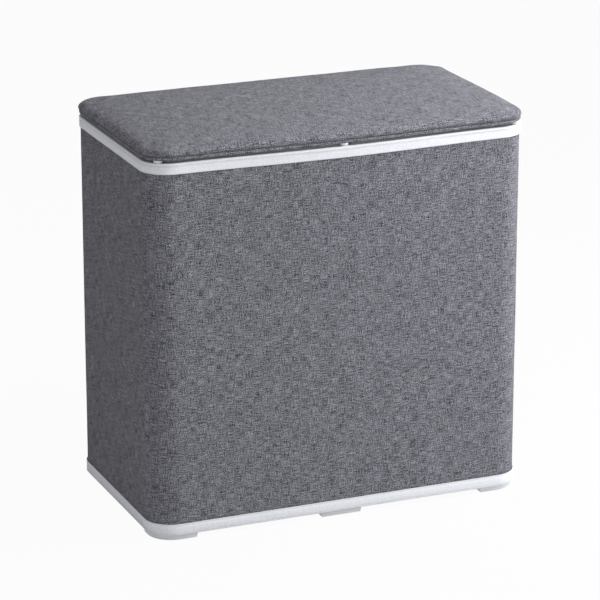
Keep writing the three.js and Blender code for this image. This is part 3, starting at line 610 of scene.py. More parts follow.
def finished_copy(node, name, edge, body, slot):
    """A CAD node with its triangles merged into faces, its edges rounded and its round sides smooth."""
    mesh = bmesh.new()
    mesh.from_mesh(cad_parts[node].data)
    bmesh.ops.remove_doubles(mesh, verts=mesh.verts, dist=2 * TINY)
    bmesh.ops.dissolve_limit(mesh, angle_limit=math.radians(0.5), verts=mesh.verts, edges=mesh.edges,
                             delimit=set())
    data = bpy.data.meshes.new(name)
    mesh.to_mesh(data)
    mesh.free()
    data.shade_smooth()
    piece = modified(put(name, data), "BEVEL", width=edge, segments=2, limit_method="ANGLE",
                     angle_limit=math.radians(40), harden_normals=True, use_clamp_overlap=True)
    wear(piece, slot, body)
    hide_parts(node)


# Sizes and colours that a user may change

def color_of(name, description, default):
    return bpy.props.FloatVectorProperty(name=name, description=description, subtype="COLOR",
                                         default=default, min=0, max=1)


def length_of(name, description, default):
    return bpy.props.FloatProperty(name=name, description=description, unit="LENGTH", default=default)


def angle_of(name, description, degrees):
    return bpy.props.FloatProperty(name=name, description=description, subtype="ANGLE",
                                   default=math.radians(degrees))


def number_of(name, description, default):
    return bpy.props.FloatProperty(name=name, description=description, default=default, min=0)


class HamperCloth(bpy.types.PropertyGroup):
    """The grey cloth of the wall and the lid."""

    dark: color_of("Dark yarn", "Colour of the darkest slubs", (0.0315, 0.0315, 0.041))
    light: color_of("Light yarn", "Colour of the palest slubs", (0.347, 0.349, 0.391))
    yarn_pitch: length_of("Yarn pitch", "Distance between crests of the weave", 1.2 * MM)
    fleck_size: length_of("Fleck size", "Size of the dark and pale flecks", 1.2 * MM)
    slub_width: length_of("Slub width", "Thickness of one slub", 0.9 * MM)
    slub_length: length_of("Slub length", "Usual length of one slub", 15 * MM)
    mottle_size: length_of("Mottle size", "Size of the broad unevenness of tone", 30 * MM)
    relief: length_of("Relief", "Depth of the weave", 0.3 * MM)


class HamperTape(bpy.types.PropertyGroup):
    """The white tape along the edges of the wall."""

    color: color_of("Colour", "Colour of the tape's dots", (0.895, 0.90, 0.93))
    shade: color_of("Shade", "Colour between the dots", (0.665, 0.69, 0.755))
    dot_pitch: length_of("Dot pitch", "Distance between rows of dots", 2.7 * MM)
    yarn_pitch: length_of("Yarn pitch", "Distance between the fine ribs", 0.7 * MM)
    relief: length_of("Relief", "Height of the dots", 0.3 * MM)
    stitch_pitch: length_of("Stitch pitch", "Distance from stitch to stitch", 3.6 * MM)


class HamperLid(bpy.types.PropertyGroup):
    """The cushioned lid."""

    crown: length_of("Crown", "Rise of the cushion from its rolled edge to its middle", 5.8 * MM)
    roll_width: length_of("Roll width", "Width of the rolled edge", 10 * MM)
    roll_height: length_of("Roll height", "Height of the rolled edge", 11.6 * MM)
    pressure: number_of("Pressure", "How hard the cushion is filled", 4.0)
    swell: length_of("Swell", "The most that filling moves the cloth", 2.5 * MM)


class HamperStage(bpy.types.PropertyGroup):
    """The camera and the lights."""

    eye: bpy.props.FloatVectorProperty(name="Eye", description="Where the camera stands",
                                       subtype="TRANSLATION", size=3, default=(-1.802, -4.316, 1.817))
    turn: angle_of("Turn", "How far the view is turned from +Y towards +X", 22.66)
    tilt: angle_of("Tilt", "How far the view looks down", 18.04)
    lens: number_of("Lens", "Focal length on a 36 mm sensor, in millimetres", 192.0)
    light: number_of("Room light", "Strength of the even light from all round", 0.40)
    key: number_of("Key light", "Power of the soft lamp on the right, in watts", 64.5)
    card: number_of("Card", "Power of the pale card on the left, in watts", 29.5)


# Operators, one for each piece or group of like pieces

class HAMPER_OT_finishes(bpy.types.Operator):
    """Makes the materials"""

    bl_idname = "hamper.finishes"
    bl_label = "Finishes"

    def execute(self, context):
        woven_cloth("grey_cloth", context.scene.hamper_cloth)
        dotted_tape("white_tape", context.scene.hamper_tape)
        moulded("tray_plastic", (0.72, 0.73, 0.75), 0.5)
        moulded("inner_plastic", (0.70, 0.70, 0.71), 0.42)
        pressed_board("fibreboard", (0.30, 0.20, 0.11))
        plain_weave("lining_cloth", (0.050, 0.053, 0.058), 1.1 * MM)
        # The mouth strip's dark grey is painted shade: it stands for the shade under the lid above the tape.
        plain_weave("edging", (0.20, 0.20, 0.205), 1.1 * MM)
        plain_weave("bag_cloth", (0.66, 0.64, 0.58), 1.0 * MM)
        plain_weave("webbing", (0.25, 0.26, 0.28), 1.8 * MM, 0.5 * MM, 0.3)
        plain_weave("thread", (0.72, 0.73, 0.76), 0.5 * MM, 0.1 * MM)
        plated_steel("steel", (0.60, 0.61, 0.63))
        dipped_wire("white_wire", (0.80, 0.80, 0.79))
        milky_button("clear_plastic", (0.80, 0.82, 0.84))
        return {"FINISHED"}


class HAMPER_OT_wall(bpy.types.Operator):
    """Stretches the grey cloth round the wall, with its seam in the middle of the back"""

    bl_idname = "hamper.wall"
    bl_label = "Wall cloth"

    TUCK = 13 * MM
    ROWS = 90
    SINK = 0.15 * MM
    PUCKER = 0.22 * MM
    PUCKER_PITCH = 15 * MM
    PUCKER_REACH = 16 * MM
    LAP = 14 * MM
    LAP_RISE = 0.75 * MM
    LAP_BEVEL = 0.3 * MM
    LAP_OUT = 0.1 * MM
    LAP_ROWS = 60
    SEAM_INSET = 2.5 * MM
    SEAM_ROWS = 200
    STITCH = (3.2 * MM, 2.4 * MM, 0.4 * MM)

    # Unevenness as (size, height, seed): hollows all over, and how the lap's edge strays
    HOLLOWS = ((90 * MM, 0.30 * MM), (30 * MM, 0.06 * MM, 4.0))
    STRAY = (20 * MM, 0.25 * MM)

    def execute(self, context):
        plan = Plan(112, 18)
        low, high = WALL_LOW + self.TUCK, WALL_TOP - self.TUCK
        levels = self.levels(low, high, self.ROWS)
        around, ways = plan.lengths(), plan.outward()
        rows = [pushed(body_ring(plan, 0, z), ways,
                       lambda point, k: self.unevenness(point, around[k], min(z - low, high - z)))
                for z in levels]
        cloth = thickened(loft("wall_cover", rows, round_uvs(plan, levels)), CLOTH_THICKNESS)
        wear(cloth, "grey_cloth", "body")
        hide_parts("wall_cloth")
        self.make_lap(low, high)
        return {"FINISHED"}

    def levels(self, low, high, count):
        return [low + (high - low) * k / count for k in range(count + 1)]

    def unevenness(self, point, around, from_edge):
        """Broad, shallow hollows all over and slight puckers beside the tapes."""
        pucker = self.PUCKER * math.sin(TURN * around / self.PUCKER_PITCH + 3 * noise.noise(point * 9))
        return ripples(point, self.HOLLOWS) + pucker * math.exp(-from_edge / self.PUCKER_REACH) - self.SINK

    def sway(self, z):
        """How far the lap's edge strays from a straight line at a level."""
        return ripple(Vector((0, 0, z)), *self.STRAY)

    def make_lap(self, low, high):
        """The end of the cloth laps over its beginning behind, and is stitched down."""
        half, rise = self.LAP / 2, self.LAP_RISE
        section = softened([(-half, 0), (-half + self.LAP_BEVEL, rise), (half - self.LAP_BEVEL, rise),
                            (half, 0), (half, -rise), (-half, -rise)], 2)
        across = run_lengths(section, rolled=True)[::-1]
        section = section[:1] + section[:0:-1]  # turned round, so that the faces point outwards
        levels = self.levels(low, high, self.LAP_ROWS)
        rows = [[Vector((x + self.sway(z), BACK_Y + y + self.LAP_OUT, z)) for x, y in section]
                for z in levels]
        uv_rows = [[(u, z - low) for u in across] for z in levels]
        wear(loft("wall_seam_lap", rows, uv_rows, ends=True), "grey_cloth", "body")
        line = [Vector((half - self.SEAM_INSET + self.sway(z), BACK_Y + rise + self.LAP_OUT, z))
                for z in self.levels(low, high, self.SEAM_ROWS)]
        stitches("wall_seam_stitches", [line], self.STITCH, "webbing", "body")


# How fast a shape changes beside a hinge's leaf and beside a button
HINGE_FADE = 8 * MM
BUTTON_FADE = 3 * MM


def hinge_share(point):
    """1 beside a hinge's leaf and 0 a little way off."""
    if point.y < MIDDLE_Y:
        return 0
    shares = []
    for side in ("left", "right"):
        middle, half = middle_and_half("hinge_body_leaf_" + side)
        off = max(abs(point.x - middle.x) - half.x, 0)
        shares.append(eased(1.5 - off / HINGE_FADE))
    return max(shares)


def button_share(point):
    """1 at one of the lid's buttons and 0 a little way off."""
    shares = []
    for place in ("left", "middle", "right"):
        middle, half = middle_and_half("lid_bumper_" + place)
        off = math.dist((point.x, point.y), (middle.x, middle.y)) - half.x
        shares.append(eased(1.6 - off / BUTTON_FADE))
    return max(shares)


class HAMPER_OT_bindings(bpy.types.Operator):
    """Folds the white tape over both edges of the wall, and stitches it"""

    bl_idname = "hamper.bindings"
    bl_label = "Edge tapes"

    # Outside of each tape from its hem to the fold and on down inside, as (offset, way from the wall's edge)
    # in mm. The top one has a rolled edge and a groove; the bottom one's fold hangs over the tray's edge.
    HEM_SIDE = [(0.3, 16.0), (1.2, 16.1), (1.5, 15.8), (1.52, 15.0), (1.42, 14.5), (1.42, 14.2), (1.52, 13.7)]
    INSIDE = [(-4.4, 0.0), (-5.2, 0.4), (-5.55, 1.4), (-5.5, 8.0), (-5.5, 15.2), (-5.3, 15.9), (-4.6, 15.9),
              (-4.4, 15.4), (-4.4, 1.5), (-4.0, 1.15), (-0.1, 1.15), (0.3, 1.5)]
    ROLLED = [(1.58, 10.0), (1.54, 5.2), (1.48, 4.8), (1.3, 4.35), (1.27, 4.0), (1.32, 3.7), (1.56, 3.2),
              (1.68, 2.3), (1.68, 1.2), (1.5, 0.4), (0.7, 0.0), (-1.8, -0.05)]
    HANGING = [(1.58, 10.0), (1.56, 4.0), (1.55, 1.0), (1.54, -0.9), (1.47, -1.25), (1.2, -1.38),
               (0.6, -1.42), (-0.8, -1.38), (-1.4, -1.05), (-1.65, -0.5), (-1.75, -0.1), (-2.4, 0.0)]
    GROOVE = (1.24, 4.05)
    HEM = (1.42, 14.35)
    STITCH_SHARE = 0.72
    THREAD = 0.5 * MM
    UNEVEN = ((12 * MM, 0.16 * MM), (50 * MM, 0.12 * MM, 7.0))

    # The lining strip from its foot up, over its top and down inside, as (offset, way below its top) in
    # mm, and how far it stands above the wall. Its dark grey is painted shade: it stands for the shade
    # under the lid, seen through the gap above the tape. Beside a hinge it lies further in and lower, and at
    # a button only lower.
    EDGING = [(-6.0, 16.8), (-6.0, 0.5), (-6.15, 0.15), (-6.5, 0.0), (-6.9, 0.0), (-7.2, 0.15), (-7.35, 0.5),
              (-7.4, 16.8)]
    EDGING_RISE = 3.2
    AT_HINGE = (-2.5, 2.4)
    AT_BUTTON = 3.8

    def execute(self, context):
        pitch = context.scene.hamper_tape.stitch_pitch
        self.make("top_tape", "top_binding", WALL_TOP, 1, self.ROLLED, (self.GROOVE, self.HEM), pitch)
        self.make("bottom_tape", "bottom_binding", WALL_LOW, -1, self.HANGING, (self.HEM,), pitch)
        self.make_edging()
        return {"FINISHED"}

    def make(self, name, node, edge, up, fold, seams, pitch):
        plan = Plan(96, 18)
        face = softened(self.HEM_SIDE + fold + self.INSIDE)
        section = [(o * MM, edge - up * fall * MM) for o, fall in face]
        if up < 0:
            section.reverse()
        ways = plan.outward()
        rows = [pushed(body_ring(plan, o, z), ways, self.unevenness) for o, z in section]
        rows.reverse()
        uv_rows = round_uvs(plan, run_lengths(section, rolled=True))
        binding = loft(name, rows, uv_rows, rolled=True)
        wear(binding, "white_tape", "body")
        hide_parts(node)
        rings = [body_ring(plan, offset * MM, edge - up * fall * MM) for offset, fall in seams]
        stitches(name + "_stitches", [closed(ring) for ring in rings],
                 (pitch, self.STITCH_SHARE * pitch, self.THREAD), "thread", "body")

    def unevenness(self, point, _):
        """Sewn tape is never quite even: its thickness wanders a little."""
        return ripples(point, self.UNEVEN)

    def make_edging(self):
        """A strip of lining that stands up inside the tape, clear of the hinges and the lid's buttons. Its
        dark grey cloth is painted shade for the shade under the lid, seen through the gap above the tape.
        """
        plan = Plan(200, 20)
        spots = plan.ring(self.EDGING[0][0] * MM, 0)
        hinges, buttons = [hinge_share(p) for p in spots], [button_share(p) for p in spots]
        inwards, lower = self.AT_HINGE
        rows = []
        for offset, drop in self.EDGING:
            near = body_ring(plan, offset * MM, WALL_TOP)
            far = body_ring(plan, (offset + inwards) * MM, WALL_TOP)
            row = []
            for a, b, at_hinge, at_button in zip(near, far, hinges, buttons):
                point = a.lerp(b, at_hinge)
                low = max(lower * at_hinge, self.AT_BUTTON * at_button) if drop < 1 else 0
                point.z += (self.EDGING_RISE - drop - low) * MM
                row.append(point)
            rows.append(row)
        uvs = round_uvs(plan, run_lengths([(o * MM, d * MM) for o, d in self.EDGING], rolled=True))
        # The strip's dark grey cloth is painted shade, seen through the gap under the lid.
        wear(loft("mouth_edging", rows, uvs, rolled=True), "edging", "body")


def dome(way):
    """The crown's share of its height at a way in from the rolled edge."""
    return 1 - (1 - min(max(way / CROWN_REACH, 0), 1)) ** 2


def crown_rise(point, edge):
    """The crown's share at a point, from its ways to the sides. edge is where the rolled edge ends."""
    bow = LID_BOW * arch(point.x / HALF_WIDTH) if point.y < MIDDLE_Y else 0
    return dome(HALF_WIDTH + edge - abs(point.x)) * dome(HALF_DEPTH + edge + bow - abs(point.y - MIDDLE_Y))


class HAMPER_OT_lid_cushion(bpy.types.Operator):
    """Fills the lid's cushion and draws its cover in at the crease"""

    bl_idname = "hamper.lid_cushion"
    bl_label = "Lid cushion"

    CREASE = [(-2.1 * MM, 4.2 * MM), (-1.5 * MM, 4.8 * MM)]
    BASE = 5.6 * MM
    BULGE = 1.6 * MM
    ROLL_STEPS = 14
    CROWN_STEPS = 22
    INNERMOST = 30 * MM
    UNDER_INSETS = (60 * MM, 20 * MM, 6 * MM)
    UNDER_HEIGHT = 4.2 * MM
    VOXEL = 6 * MM
    FRAMES = 20

    # Heights over the lid's underside: the filling holds what is lower, and moves what is higher the more
    PINNED_BELOW = 8 * MM
    LIFT_FROM, LIFT_OVER = 7 * MM, 6 * MM

    # The cover's unevenness: the height below which it lies still, and where the rolled edge fades out
    STILL_BELOW = 5 * MM
    ROLL_TOP, ROLL_FADE = 14 * MM, 5 * MM
    WAVE = (70 * MM, 0.5 * MM)
    ROLL_WAVE = (20 * MM, 0.16 * MM, 3.0)
    SINK = 0.2 * MM

    def execute(self, context):
        lid = context.scene.hamper_lid
        plan = Plan(96, 16)
        section = self.profile(lid)
        rows = [lid_ring(plan, o, z) for o, z in section]
        flat_from = len(self.CREASE) + self.ROLL_STEPS + 1
        edge, top = section[flat_from - 1]
        for row in rows[flat_from:]:
            for point in row:
                point.z = LID_UNDER + top + lid.crown * crown_rise(point, LID_LIP + edge)
        under = [lid_ring(plan, -inset, self.UNDER_HEIGHT) for inset in self.UNDER_INSETS]
        spreads = [section[flat_from][0]]
        for here, outer in zip(section[flat_from:0:-1], section[flat_from - 1::-1]):
            spreads.insert(0, spreads[0] + math.dist(here, outer))
        spreads += [o for o, _ in section[flat_from + 1:]]
        spreads = [-inset for inset in self.UNDER_INSETS] + spreads
        uv_rows = [flat_uvs(lid_ring(plan, spread, 0)) for spread in spreads]
        cushion = loft("lid_cushion", under + rows, uv_rows, fill=True)
        edited(cushion, split_big_faces, self.close_underside, split_big_faces)
        cushion.data.shade_smooth()
        self.fill(cushion, lid)
        self.settle(cushion)
        wear(cushion, "grey_cloth", "lid")
        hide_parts("lid_pad", "lid_cover")
        return {"FINISHED"}

    def profile(self, lid):
        """The cushion's side from the crease to the middle of the crown, as (offset from the lip, height)."""
        points = list(self.CREASE)
        start, last = math.radians(-30), math.pi / 2
        for k in range(self.ROLL_STEPS + 1):
            turn = start + (k / self.ROLL_STEPS) * (last - start)
            rise = (math.sin(turn) - math.sin(start)) / (1 - math.sin(start))
            points.append((self.BULGE - lid.roll_width * (1 - math.cos(turn)),
                           self.BASE + lid.roll_height * rise))
        edge, top = self.BULGE - lid.roll_width, self.BASE + lid.roll_height
        for k in range(1, self.CROWN_STEPS + 1):
            way = k / self.CROWN_STEPS * (HALF_DEPTH - self.INNERMOST)
            points.append((edge - way, top + lid.crown * dome(way)))
        return points

    def close_underside(self, mesh):
        bmesh.ops.holes_fill(mesh, edges=[edge for edge in mesh.edges if edge.is_boundary], sides=0)

    def fill(self, cushion, lid):
        """Blows up a coarse copy as cloth, then moves the cushion's own points as it moved."""
        copy = put("cushion_fill", cushion.data.copy())
        applied(modified(copy, "REMESH", mode="VOXEL", voxel_size=self.VOXEL))
        slack = [v.co.copy() for v in copy.data.vertices]
        pinned = [v.index for v in copy.data.vertices if v.co.z < LID_UNDER + self.PINNED_BELOW]
        copy.vertex_groups.new(name="held").add(pinned, 1.0, "REPLACE")
        cloth = copy.modifiers.new("filling", "CLOTH")
        cloth.settings.use_pressure = True
        cloth.settings.uniform_pressure_force = lid.pressure
        cloth.settings.vertex_group_mass = "held"
        cloth.settings.quality = 6
        cloth.settings.tension_stiffness = 12
        cloth.settings.compression_stiffness = 12
        cloth.settings.effector_weights.gravity = 0
        cloth.point_cache.frame_end = self.FRAMES
        for step in range(1, self.FRAMES + 1):
            bpy.context.scene.frame_set(step)
        applied(copy)
        bpy.context.scene.frame_set(1)
        tree = KDTree(len(slack))
        for index, spot in enumerate(slack):
            tree.insert(spot, index)
        tree.balance()
        moves = [v.co - spot for v, spot in zip(copy.data.vertices, slack)]
        for vertex in cushion.data.vertices:
            move, total = Vector(), 0.0
            for _, index, away in tree.find_range(vertex.co, 3 * self.VOXEL):
                weight = math.exp(-(away / self.VOXEL) ** 2)
                move += moves[index] * weight
                total += weight
            if total:
                move /= total
            lift = min(max((vertex.co.z - LID_UNDER - self.LIFT_FROM) / self.LIFT_OVER, 0), 1)
            vertex.co += move * (lift * lid.swell / max(move.length, lid.swell))
        bpy.data.objects.remove(copy)

    def settle(self, cushion):
        """The cover lies a little unevenly over its foam, most of all along its rolled edge."""
        for vertex in cushion.data.vertices:
            rise = vertex.co.z - LID_UNDER
            if rise < self.STILL_BELOW:
                continue
            near_roll = 1 - min(max((rise - self.ROLL_TOP) / self.ROLL_FADE, 0), 1)
            wave = ripple(vertex.co, *self.WAVE) + near_roll * ripple(vertex.co, *self.ROLL_WAVE)
            vertex.co += vertex.normal * (wave - self.SINK)


class HAMPER_OT_lid_underside(bpy.types.Operator):
    """Wraps the cover's hem round the lid board, and adds the liner and the three clear buttons"""

    bl_idname = "hamper.lid_underside"
    bl_label = "Lid underside"

    # The hem from its inner edge out, round the lip and up into the crease, as (offset, height) in mm and the
    # share of the bead's depth that hangs there
    HEM = [(-18.0, 0.15, 0), (-17.0, 0.0, 0), (-8.0, 0.0, 0), (-5.0, 0.0, 0.5), (-3.2, 0.0, 1),
           (-1.4, 0.1, 1), (-0.3, 0.7, 0.7), (0.1, 2.0, 0.2), (0.05, 3.2, 0), (-0.35, 4.05, 0),
           (-1.1, 4.45, 0), (-2.6, 4.5, 0)]
    HEM_WAVE = (30 * MM, 0.2 * MM)
    BEAD = 0.95 * MM
    BEAD_INSET = 4 * MM
    BEAD_END, BEAD_FADE = 30 * MM, 40 * MM

    # The liner's edge turns up, as (offset from its edge, height) in mm
    LINER_EDGE = -18.2 * MM
    LINER_TURN = [(-0.1, 0.9), (0, 0.35)]
    LINER_FLAT = 0.05 * MM
    LINER_RISE = 0.1 * MM
    LINER_WAVE = (50 * MM, 0.3 * MM)
    LINER_THICKNESS = 0.9 * MM
    LINER_STEPS = 26
    LINER_GAP = 22 * MM
    SEAM_INSET = 4 * MM
    STITCH = (4.0 * MM, 3.0 * MM, 0.45 * MM)

    # Half of a button's outline as (share of its radius, height in mm): its lower part from its own foot, and
    # its upper part from the lid's underside
    BUTTON_FOOT = [(0, 0.5), (0.45, 0.45), (0.7, 0.0), (0.86, 0.1), (0.98, 0.9), (1, 1.8)]
    BUTTON_HEAD = [(1, -0.9), (0.97, -0.3), (0.86, 0), (0.3, 0), (0.3, 1.5), (0, 1.5)]

    def execute(self, context):
        plan = Plan(160, 16)
        section = [(o * MM, z * MM, bead) for o, z, bead in softened(self.HEM, 2, rolled=False)]
        ways = plan.outward()
        beads = [self.BEAD * (1 - button_share(p)) * eased((BACK_Y - self.BEAD_END - p.y) / self.BEAD_FADE)
                 for p in plan.ring(-self.BEAD_INSET, 0, LID_BOW)]
        rows = []
        for offset, height, share in section:
            row = pushed(lid_ring(plan, offset, height), ways, lambda point, _: ripple(point, *self.HEM_WAVE))
            for point, bead in zip(row, beads):
                point.z -= share * bead
            rows.append(row)
        uv_rows = round_uvs(plan, run_lengths([(o, z) for o, z, _ in section]))
        wear(thickened(loft("lid_hem", rows, uv_rows), CLOTH_THICKNESS), "grey_cloth", "lid")
        self.make_liner(plan)
        self.make_buttons()
        return {"FINISHED"}

    def make_liner(self, plan):
        edge = self.LINER_EDGE
        section = [(edge + o * MM, height * MM) for o, height in self.LINER_TURN]
        for k in range(1, self.LINER_STEPS):
            section.append((edge - (HALF_DEPTH - self.LINER_GAP) * k / self.LINER_STEPS, self.LINER_FLAT))
        rows = [lid_ring(plan, o, z) for o, z in section]
        for row in rows[len(self.LINER_TURN):]:
            for point in row:
                point.z += self.LINER_RISE + abs(ripple(point, *self.LINER_WAVE))
        rows = [list(reversed(row)) for row in rows]
        liner = loft("lid_lining", rows, [flat_uvs(row) for row in rows], fill=True)
        thickened(edited(liner, split_big_faces), self.LINER_THICKNESS)
        wear(liner, "lining_cloth", "lid")
        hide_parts("lid_liner")
        ring = lid_ring(plan, edge - self.SEAM_INSET, self.LINER_RISE)
        stitches("lid_lining_stitches", [closed(ring)], self.STITCH, "webbing", "lid")

    def make_buttons(self):
        names = ["lid_bumper_left", "lid_bumper_middle", "lid_bumper_right"]
        radius = middle_and_half(names[1])[1].x
        foot = node_box(names[1])[0].z - LID_UNDER
        profile = [(r * radius, foot + h * MM) for r, h in self.BUTTON_FOOT]
        profile += [(r * radius, h * MM) for r, h in self.BUTTON_HEAD]
        buttons = []
        for name in names:
            middle, _ = middle_and_half(name)
            button = spun("button", profile)
            button.data.transform(Matrix.Translation((middle.x, middle.y, LID_UNDER)))
            buttons.append(button)
        piece = joined("lid_buttons", buttons)
        wear(piece, "clear_plastic", "lid")
        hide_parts(*names)


class HAMPER_OT_mouldings(bpy.types.Operator):
    """Finishes the tray, the rim frame, the centre rail and the hidden boards"""

    bl_idname = "hamper.mouldings"
    bl_label = "Mouldings and boards"

    EDGE = 0.35 * MM
    BOARDS = ("wall_board", "back_joint_strip", "lid_board", "bin_left_bottom_board",
              "bin_right_bottom_board")

    def execute(self, context):
        finished_copy("base_tray", "footed_tray", self.EDGE, "body", "tray_plastic")
        for node in ("rim_frame", "center_rail"):
            finished_copy(node, node + "_finished", self.EDGE, "body", "inner_plastic")
        for name in self.BOARDS:
            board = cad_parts[name]
            if not board.material_slots:
                board.data.materials.append(Finish.made["fibreboard"])
            for holder in board.material_slots:
                holder.link = "OBJECT"
                holder.material = Finish.made["fibreboard"]
        return {"FINISHED"}


class HAMPER_OT_hinges(bpy.types.Operator):
    """Finishes the two butt hinges behind"""

    bl_idname = "hamper.hinges"
    bl_label = "Hinges"

    LEAF_EDGE = 0.12 * MM
    ROD_EDGE = 0.15 * MM

    def execute(self, context):
        for side in ("_left", "_right"):
            for node, name, edge, body in (
                    ("hinge_body_leaf", "hinge_fixed_leaf", self.LEAF_EDGE, "body"),
                    ("hinge_lid_leaf", "hinge_moving_leaf", self.LEAF_EDGE, "lid"),
                    ("hinge_pin", "hinge_rod", self.ROD_EDGE, "body")):
                finished_copy(node + side, name + side, edge, body, "steel")
        return {"FINISHED"}


class HAMPER_OT_fasteners(bpy.types.Operator):
    """Sets round-headed rivets and cross-head screws where the model has them"""

    bl_idname = "hamper.fasteners"
    bl_label = "Rivets and screws"

    # Half outlines as (radius, height over the seat) in mm
    RIVET = [(0, -2.0), (1.7, -2.0), (1.75, 0.0), (3.8, 0.0), (4.0, 0.3), (3.85, 0.75), (3.2, 1.2),
             (2.2, 1.38), (1.9, 1.3), (1.6, 1.12), (0, 1.1)]
    SCREW = [(0, -2.0), (1.45, -2.0), (1.5, 0.0), (2.95, 0.0), (3.1, 0.2), (2.95, 0.5), (2.3, 0.78),
             (1.2, 0.9), (0, 0.92)]
    RIVET_HEAD = 1.4 * MM
    SCREW_HEAD = 0.9 * MM
    SIDES = 24

    # Which way a head faces: a rivet's on each side, and a screw's
    INWARDS = {"front": Vector((0, 1, 0)), "rear": Vector((0, -1, 0)), "left": Vector((1, 0, 0)),
               "right": Vector((-1, 0, 0))}
    UP, DOWN = Vector((0, 0, 1)), Vector((0, 0, -1))
    RIVETS = ("base_rivet_front_left", "base_rivet_front_right", "base_rivet_rear_left",
              "base_rivet_rear_right", "base_rivet_left", "base_rivet_right", "rim_rivet_left_front",
              "rim_rivet_left_rear", "rim_rivet_right_front", "rim_rivet_right_rear", "rim_rivet_rear_left",
              "rim_rivet_rear_right")

    def execute(self, context):
        rivet = spun("rivet_master", [(r * MM, h * MM) for r, h in self.RIVET], self.SIDES)
        screw = self.make_screw()
        rivets = {node: self.INWARDS[node.split("_")[2]] for node in self.RIVETS}
        self.make("wall_rivets", rivets, self.RIVET_HEAD, rivet, "inner_plastic", "body")
        places = ("left_outer", "left_inner", "right_outer", "right_inner")
        for name, node, spots, way, body in (
                ("hinge_wall_screws", "hinge_body_screw_", places, self.INWARDS["rear"], "body"),
                ("rail_screws", "rail_screw_", ("front", "rear"), self.UP, "body"),
                ("hinge_lid_screws", "hinge_lid_screw_", places, self.DOWN, "lid")):
            self.make(name, {node + spot: way for spot in spots}, self.SCREW_HEAD, screw, "steel", body)
        for master in (rivet, screw):
            bpy.data.objects.remove(master)
        return {"FINISHED"}

    def make(self, name, nodes, head, master, slot, body):
        """Copies of one fastener as one piece. Each one's head ends where its node's box does."""
        seats = []
        for node, way in nodes.items():
            middle, half = middle_and_half(node)
            seats.append(middle + way * half - way * head)
        piece = new_piece(name, seats)
        facing = piece.data.attributes.new("facing", "FLOAT_VECTOR", "POINT")
        for spot, way in zip(facing.data, nodes.values()):
            spot.vector = way
        repeated(piece, "Fasteners", fastener_tree, Fastener=master, Metal=Finish.made[slot])
        wear(piece, slot, body)
        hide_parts(*nodes)

    def make_screw(self):
        """A pan-headed screw with a cross recess cut by boolean."""
        screw = spun("screw_master", [(r * MM, h * MM) for r, h in self.SCREW], self.SIDES)
        for turn in (0, math.pi / 2):
            cutter = self.wedge(turn)
            applied(modified(screw, "BOOLEAN", object=cutter, solver="EXACT"))
            bpy.data.objects.remove(cutter)
        screw.data.shade_smooth()
        return applied(modified(screw, "BEVEL", width=0.05 * MM, limit_method="ANGLE", harden_normals=True))

    def wedge(self, turn):
        """One arm of the cross, narrower at its foot."""
        corners = [(x * length * MM, y * width * MM, z * MM)
                   for z, length, width in ((0.15, 0.9, 0.28), (1.2, 1.7, 0.42))
                   for x, y in ((-1, -1), (1, -1), (1, 1), (-1, 1))]
        sides = [(k, (k + 1) % 4, (k + 1) % 4 + 4, k + 4) for k in range(4)]
        piece = new_piece("wedge", corners, [(3, 2, 1, 0), (4, 5, 6, 7)] + sides)
        piece.data.transform(Matrix.Rotation(turn, 4, "Z"))
        return piece


# Bins

